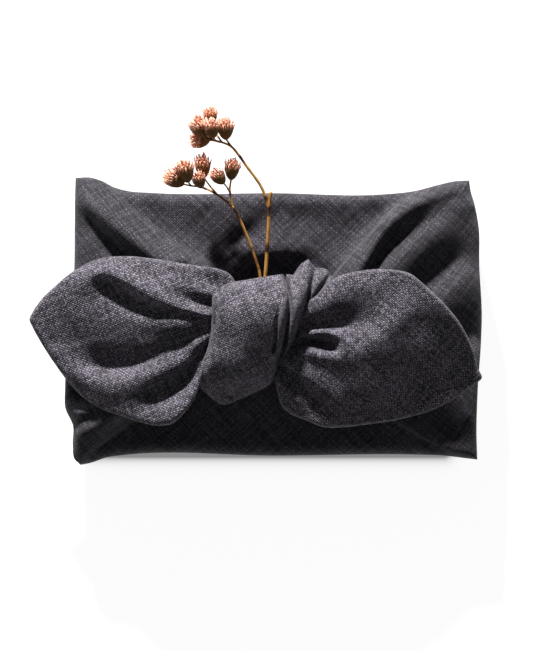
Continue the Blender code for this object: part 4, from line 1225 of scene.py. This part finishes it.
half_bead = [(0.5, 0.0001, 0.00004), (0.42, 0.4 * STITCH_WIDTH * MM, 0.00008),
             (0.2, 0.5 * STITCH_WIDTH * MM, 0.00012)]
whole_bead = [(-share, *size) for share, *size in half_bead] + half_bead[::-1]
bead = strip_shape("bead", [(share * STITCH_LENGTH * MM, wide, thick, 0.0)
                            for share, wide, thick in whole_bead])
hem_line = drawn(RIGHT_TAIL.hem, 2000)
hem_ahead = units(np.gradient(hem_line, axis=0))
inner_line = hem_line + np.column_stack([hem_ahead[:, 1], -hem_ahead[:, 0]]) * STITCH_INSET
walked = lengths_along(inner_line)
bpy.context.view_layer.update()
stitch_places, stitch_turns = [], []
for reach in np.arange(STITCH_MARGIN, walked[-1] - STITCH_MARGIN, STITCH_STEP):
    here, ahead = [Vector((*[np.interp(at, walked, inner_line[:, axis]) for axis in (0, 1)], 0.0))
                   for at in (reach, reach + 0.5)]
    place, normal = surface_point(right_tail, here.x, here.y)
    if place is not None and here.y < STITCHES_BELOW:
        stitch_places.append(place + normal * STITCH_LIFT)
        stitch_turns.append(lying_along((ahead - here).normalized(), normal))
hem_stitches = set_out("hem_stitches", stitch_places, stitch_turns, np.ones(len(stitch_places)), bead,
                       thread_finish, 0.12, 4)
print(len(stitch_places), "stitches,", len(hem_stitches.data.polygons), "faces")

# %% [markdown]
# ## Stalks
#
# A stalk is a tube along a smooth line, thinner towards its tip and slightly swollen where a branch leaves
# it. Each twig ends under its flower head. The bark is golden, with dark streaks along it and dark nodes.

# %% Bark
bark, shader, start = new_material("dry_bark", 0.62)
along_bark, round_bark, _ = start.node("ShaderNodeUVMap", {"uv_map": "cloth"}, {}).parts()
streaks = start.patches(along_bark * 260.0, round_bark * 2400.0, 4.0)
blotches = start.patches(along_bark * 130.0, round_bark * 60.0)
dark = streaks.between(0.52, 0.72) * 0.5 + blotches.between(0.52, 0.66) * 0.75 + start.marked("edge") * 0.8
feed(shader, "Base Color", dark.ramp((0.0, (0.50, 0.26, 0.065)), (0.4, (0.30, 0.13, 0.03)),
                                     (0.75, (0.10, 0.04, 0.012)), (1.0, (0.04, 0.016, 0.007))))
feed_bumps(shader, streaks, distance=0.0001, strength=0.6)

print("bark:", len(bark.node_tree.nodes), "nodes")

# %% Where the heads and the stalks lie
Head = namedtuple("Head", "x y z width length lean")
HEADS = (
    Head(-29.0, 90.1, 59.0, 5.8, 7.4, 95.0),
    Head(-33.3, 84.9, 61.5, 7.6, 8.6, 120.0),
    Head(-28.3, 84.2, 64.7, 6.6, 7.4, 100.0),
    Head(-22.4, 84.4, 60.7, 7.0, 8.4, 92.0),
    Head(-44.2, 62.9, 60.6, 7.4, 8.6, 150.0),
    Head(-39.7, 65.9, 63.0, 7.4, 9.0, 105.0),
    Head(-32.3, 68.4, 56.4, 6.6, 9.4, 95.0),
    Head(-25.2, 63.8, 59.7, 6.0, 6.8, 130.0),
    Head(-19.7, 67.1, 56.8, 6.4, 8.6, 85.0),
    Head(-33.8, 62.2, 59.9, 5.6, 6.4, 110.0),
    Head(-33.0, 80.3, 55.9, 6.8, 7.4, 180.0),
)
Stalk = namedtuple("Stalk", "path radius_start radius_end head nodes")
STEMS = {
    "stem_right": (
        Stalk(((-6.4, 8.3, 43.8), (-6.1, 13, 45.1), (-5.2, 20.6, 46.4), (-4.4, 32.3, 48.2),
               (-3.7, 43.2, 50.3), (-3.4, 52.4, 52.2), (-2.7, 57.8, 53.6)), 0.80, 0.74, 0, (0.86, 0.5)),
        Stalk(((-3.8, 51.2, 51.8), (-6.2, 58.6, 53.4), (-13.7, 69.5, 56.3), (-17.1, 74.2, 57.5),
               (-19.9, 77.3, 58.6), (-23.6, 79, 59.3), (-27, 79.8, 59.7)), 0.70, 0.45, 2, (0.1, 0.58, -0.3)),
        Stalk(((-18.4, 75.9, 58), (-20.6, 78.4, 58.8)), 0.45, 0.40, 4, ()),
        Stalk(((-25.4, 79.4, 59.5), (-26.8, 80, 61.3)), 0.42, 0.38, 3, ()),
        Stalk(((-23.8, 79, 59.3), (-26.4, 82.6, 58.6)), 0.42, 0.38, 1, ()),
        Stalk(((-25.2, 79.3, 59.3), (-27.4, 80, 56.7)), 0.42, 0.38, 11, ()),
    ),
    "stem_left": (
        Stalk(((-8.2, 8.3, 44), (-7.9, 13, 45.1), (-7.4, 20.6, 46.5), (-10.1, 30.6, 48.5),
               (-13.8, 40.2, 50.7), (-17.7, 48.8, 53), (-19.4, 51.6, 53.9)), 0.65, 0.55, 0, (0.95,)),
        Stalk(((-19.2, 51.2, 53.6), (-22.6, 54.2, 54.4), (-26.2, 56.7, 55.4), (-29.8, 58.6, 56.1),
               (-33.6, 59.9, 57.3), (-37, 60.2, 58.8)), 0.50, 0.38, 5, (0.05, 0.42)),
        Stalk(((-19.3, 50.8, 53.6), (-20.2, 55.6, 54.7), (-20.6, 58.6, 55)), 0.48, 0.38, 9, (0.5,)),
        Stalk(((-20.4, 57.2, 54.8), (-21.6, 59.4, 56.7)), 0.40, 0.36, 8, ()),
        Stalk(((-26, 56.6, 55.4), (-29, 60, 55.1)), 0.42, 0.36, 7, ()),
        Stalk(((-35.2, 60.1, 56.4), (-37.2, 60.3, 58.7)), 0.40, 0.36, 6, ()),
        Stalk(((-31.1, 58.9, 55.9), (-32.3, 59.4, 57.3)), 0.40, 0.36, 10, ()),
    ),
}
print(len(HEADS), "heads on", sum(len(stalks) for stalks in STEMS.values()), "stalks")

# %% The tubes of the stalks
TUBE_SIDES = 14
RINGS_PER_SPAN = 12
HEAD_GAP = 0.2
NODE_WIDTH = 1.1
NODE_SWELL = 0.22
BARK_SWELL = 0.12
BARK_LUMP = 2.2


def facing(head):
    """The way a head points: its lean as seen from above, tipped a little up."""
    lean = math.radians(head.lean)
    return Vector((math.cos(lean), math.sin(lean), 0.25)).normalized()


def crossways(ahead):
    """Two directions square to a stalk's or a head's own, the first level with the floor."""
    across = ahead.cross(Vector((0, 0, 1))).normalized()
    return across, across.cross(ahead)


def tube(stalk):
    """Rings of points along a stalk, with their node marks and their cloth map."""
    points = list(stalk.path)
    if stalk.head:
        head = HEADS[stalk.head - 1]
        base = Vector((head.x, head.y, head.z)) - facing(head) * (head.length / 2 - HEAD_GAP)
        points.append(tuple(base))
    rings = RINGS_PER_SPAN * (len(points) - 1) + 1
    share = np.linspace(0, 1, rings)
    path = [Vector(point) for point in curve(points, share)]
    walked = np.concatenate([[0.0], np.cumsum([(b - a).length for a, b in zip(path, path[1:])])])
    verts, marks, spots = [], [], []
    for k, point in enumerate(path):
        across, up = crossways((path[min(k + 1, rings - 1)] - path[max(k - 1, 0)]).normalized())
        from_nodes = [(share[k] - node) * walked[-1] / NODE_WIDTH for node in stalk.nodes]
        mark = max([math.exp(-away ** 2) for away in from_nodes] + [0.0])
        radius = stalk.radius_start + (stalk.radius_end - stalk.radius_start) * share[k]
        uneven = noise.noise(Vector((walked[k] / BARK_LUMP, stalk.path[0][0], 0.5)))
        radius = float(radius * (1 + NODE_SWELL * mark + BARK_SWELL * uneven))
        for side, (cos, sin) in enumerate(round_turns(TUBE_SIDES)):
            verts.append(point + radius * (across * cos + up * sin))
            marks.append(mark)
            spots.append((walked[k], stalk.path[-1][0] + radius * min(side, TUBE_SIDES - side) * 0.45))
    return verts, marks, spots


def build_stem(name, stalks):
    """All the tubes of one stem as one piece."""
    verts, faces, marks, spots = [], [], [], []
    for stalk in stalks:
        tube_verts, tube_marks, tube_spots = tube(stalk)
        faces += tube_faces(len(tube_verts) // TUBE_SIDES, TUBE_SIDES, start=len(verts))
        verts += tube_verts
        marks += tube_marks
        spots += tube_spots
    return make_piece(name, [tuple(vert) for vert in verts], faces, spots, bark, marks)


stems = [build_stem("twig_" + name[5:], stalks) for name, stalks in STEMS.items()]
print("stems:", [len(stem.data.polygons) for stem in stems])

# %% [markdown]
# ## Flower heads
#
# Each dried head is a small goblet: a solid core, closed over by scales from its base to its opening. The
# scales at the base are dark olive and lie close, and those near the opening stand out, papery and dusty
# pink with pale tips. They all follow the spiral that plants use: each new one is turned 137.5 degrees from
# the last, which never lines two of them up.

# %% The papery finish, and one scale
petal_finish, shader, start = new_material("dry_petal", 0.8)
age = start.marked("row") * 0.35 + start.marked("ripe") * 0.5 + start.marked("shade") * 0.36 - 0.07
petal_color = age.ramp((0.0, (0.09, 0.05, 0.015)), (0.2, (0.24, 0.12, 0.045)), (0.45, (0.66, 0.28, 0.16)),
                       (0.75, (0.88, 0.45, 0.32)), (1.0, (0.95, 0.64, 0.50)))
feed(shader, "Base Color", petal_color)
veins = start.node("ShaderNodeTexNoise", {}, {"Scale": 3000.0, "Detail": 2.0})
feed_bumps(shader, veins, distance=0.0001, strength=0.5)

scale_shape = strip_shape("scale", [(0.0, 0.00020, 0.00008, 0.0), (0.0007, 0.00036, 0.00010, 0.00008),
                                    (0.0015, 0.00042, 0.00009, 0.00008), (0.0022, 0.00040, 0.00007, -0.00006),
                                    (0.0028, 0.00022, 0.00005, -0.0003)])
print("one scale:", len(scale_shape.data.polygons), "faces")

# %% Heads of papery scales
GOLDEN_TURN = math.radians(137.508)
SCALES_PER_HEAD = 84
HEAD_PROFILE = ((-0.50, 0.12), (-0.38, 0.28), (-0.18, 0.42), (0.04, 0.50), (0.22, 0.42), (0.34, 0.15))
CORE_RINGS = 14
CORE_SIDES = 16
CORE_MARKS = {"ripe": 0.1, "row": 0.05, "shade": 0.4}
FIRST_SCALE = 0.04
LAST_SCALE = 0.84
SCALE_CROWDING = 0.8
USUAL_WIDTH = 6.2


def head_radius(head, along_axis):
    """The goblet's radius at a share of its length from its middle."""
    return head.width * float(profile(HEAD_PROFILE, np.array([along_axis]))[0])


def head_core(head, middle, ahead, across, up):
    """The goblet itself: rings of points round its axis."""
    verts = []
    for along_axis in np.linspace(HEAD_PROFILE[0][0], HEAD_PROFILE[-1][0], CORE_RINGS).tolist():
        radius = head_radius(head, along_axis)
        for cos, sin in round_turns(CORE_SIDES):
            verts.append(middle + ahead * head.length * along_axis + radius * (across * cos + up * sin))
    return verts


def build_head(number, head):
    """A core with scales set out on it in a spiral, from the base to the opening."""
    middle = Vector((head.x, head.y, head.z))
    ahead = facing(head)
    across, up = crossways(ahead)
    places, turns, sizes, rows = [], [], [], []
    for k in range(SCALES_PER_HEAD):
        share = (k / (SCALES_PER_HEAD - 1)) ** SCALE_CROWDING
        along_axis = HEAD_PROFILE[0][0] + FIRST_SCALE + share * (LAST_SCALE - FIRST_SCALE)
        angle = k * GOLDEN_TURN + number
        outward = across * math.cos(angle) + up * math.sin(angle)
        opening = 0.18 + 0.35 * share + 0.3 * math.sin(k * 2.3 + number)
        reach = (ahead + outward * opening).normalized()
        normal = (outward - ahead * opening).normalized()
        radius = head_radius(head, along_axis)
        places.append((middle + ahead * head.length * along_axis + outward * radius * 0.9) * MM)
        turns.append(lying_along(reach, normal))
        sizes.append((0.7 + 0.3 * share) * head.width / USUAL_WIDTH)
        rows.append(share)
    scales = set_out(f"petals_{number}", places, turns, sizes, scale_shape, petal_finish, 0.18, number,
                     [("row", rows)])
    verts = head_core(head, middle, ahead, across, up)
    mesh = bpy.data.meshes.new(f"core_{number}")
    mesh.from_pydata([tuple(vert * MM) for vert in verts], [], tube_faces(CORE_RINGS, CORE_SIDES))
    mesh.materials.append(petal_finish)
    for mark, value in CORE_MARKS.items():
        mark_points(mesh, mark, [value] * len(verts))
    mesh.shade_smooth()
    core = add_object(f"core_{number}", mesh)
    with bpy.context.temp_override(active_object=scales, selected_editable_objects=[scales, core]):
        bpy.ops.object.join()
    return scales


heads = [build_head(number, head) for number, head in enumerate(HEADS, 1)]
print("heads:", [len(head.data.polygons) for head in heads])

# %% [markdown]
# ## Floor and light
#
# The packet lies on a pale floor under one fairly small lamp, placed low enough to rake over the folds, with
# a weak even glow from all around so that the shadows keep their detail. A small glow of its own keeps the
# floor near white. Close to the packet that glow fades, which paints a soft contact shadow under its rounded
# sides.

# %% Pale floor, one lamp and a soft glow
FLOOR_HALF = 3.0
FLOOR_GLOW = 0.93
CONTACT_MIDDLE = (-0.003, -0.004)
CONTACT_HALF = (0.078, 0.052)
CONTACT_MARGIN = 0.0039
CONTACT_FADE = 600.0
CONTACT_SHADE = 0.75
LAMP_AZIMUTH = 100.0
LAMP_ELEVATION = 24.0
LAMP_DISTANCE = 1.4
LAMP_SIZE = 0.11
LAMP_POWER = 54.0
SKY_COLOR = (0.97, 0.98, 1.0, 1.0)
SKY_STRENGTH = 0.14

floor_finish, shader, start = new_material("pale_floor", 0.95)
shader.inputs["Base Color"].default_value = (0.3, 0.3, 0.3, 1.0)
shader.inputs["Emission Strength"].default_value = FLOOR_GLOW
across, along_y, _ = start.node("ShaderNodeTexCoord", {}, {}, "Object").parts()
# Painted contact shadow: the floor's glow fades within a few millimetres of the packet's outline.
past_x, past_y = [start.math("MAXIMUM", start.math("ABSOLUTE", at - middle) - half, 0.0)
                  for at, middle, half in zip((across, along_y), CONTACT_MIDDLE, CONTACT_HALF)]
away = start.math("SQRT", past_x * past_x + past_y * past_y)
painted_contact_shadow = start.math("EXPONENT", start.math("MAXIMUM", away - CONTACT_MARGIN, 0.0) * -CONTACT_FADE)
glow = 1.0 - painted_contact_shadow * CONTACT_SHADE
feed(shader, "Emission Color", glow.tint((0.0, 0.0, 0.0, 1.0), (1.0, 1.0, 1.0, 1.0)))
floor_mesh = bpy.data.meshes.new("floor")
floor_corners = [(x * FLOOR_HALF, y * FLOOR_HALF, 0.0) for x, y in ((-1, -1), (1, -1), (1, 1), (-1, 1))]
floor_mesh.from_pydata(floor_corners, [], [(0, 1, 2, 3)])
floor_mesh.materials.append(floor_finish)
floor = add_object("floor", floor_mesh)

lamp_data = bpy.data.lights.new("lamp", "AREA")
lamp_data.shape = "DISK"
lamp_data.size = LAMP_SIZE
lamp_data.energy = LAMP_POWER
lamp = add_object("lamp", lamp_data)
azimuth, elevation = math.radians(LAMP_AZIMUTH), math.radians(LAMP_ELEVATION)
lamp.location = LAMP_DISTANCE * Vector((math.cos(azimuth) * math.cos(elevation),
                                        math.sin(azimuth) * math.cos(elevation), math.sin(elevation)))
lamp.rotation_euler = (-lamp.location).to_track_quat("-Z", "Y").to_euler()

world = bpy.data.worlds.new("glow")
world.use_nodes = True
world.node_tree.nodes["Background"].inputs["Color"].default_value = SKY_COLOR
world.node_tree.nodes["Background"].inputs["Strength"].default_value = SKY_STRENGTH
bpy.context.scene.world = world
bpy.context.scene.view_settings.view_transform = "Standard"
print("lamp at", [round(value, 2) for value in lamp.location])

# %% [markdown]
# ## Saying what each piece is
#
# Every piece rides on the object's one body. The cloth pieces take the linen's finish and stand for the solid
# wrap, whose own solid is hidden, as are the solid stems and flower heads that the stalks and heads replace.

# %% Declarations
pieces = [packet_cloth, knot_cloth, bunch_cloth, left_tail, right_tail, hem_stitches, *stems, *heads]
for piece in pieces:
    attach(piece, "root")
for piece in (packet_cloth, knot_cloth, bunch_cloth, left_tail, right_tail, hem_stitches):
    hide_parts("wrap")
for stem in stems:
    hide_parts(stem.name.replace("twig", "stem"))
for number, head in enumerate(heads, 1):
    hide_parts(f"flower_head_{number}")
print(len(pieces), "pieces declared")
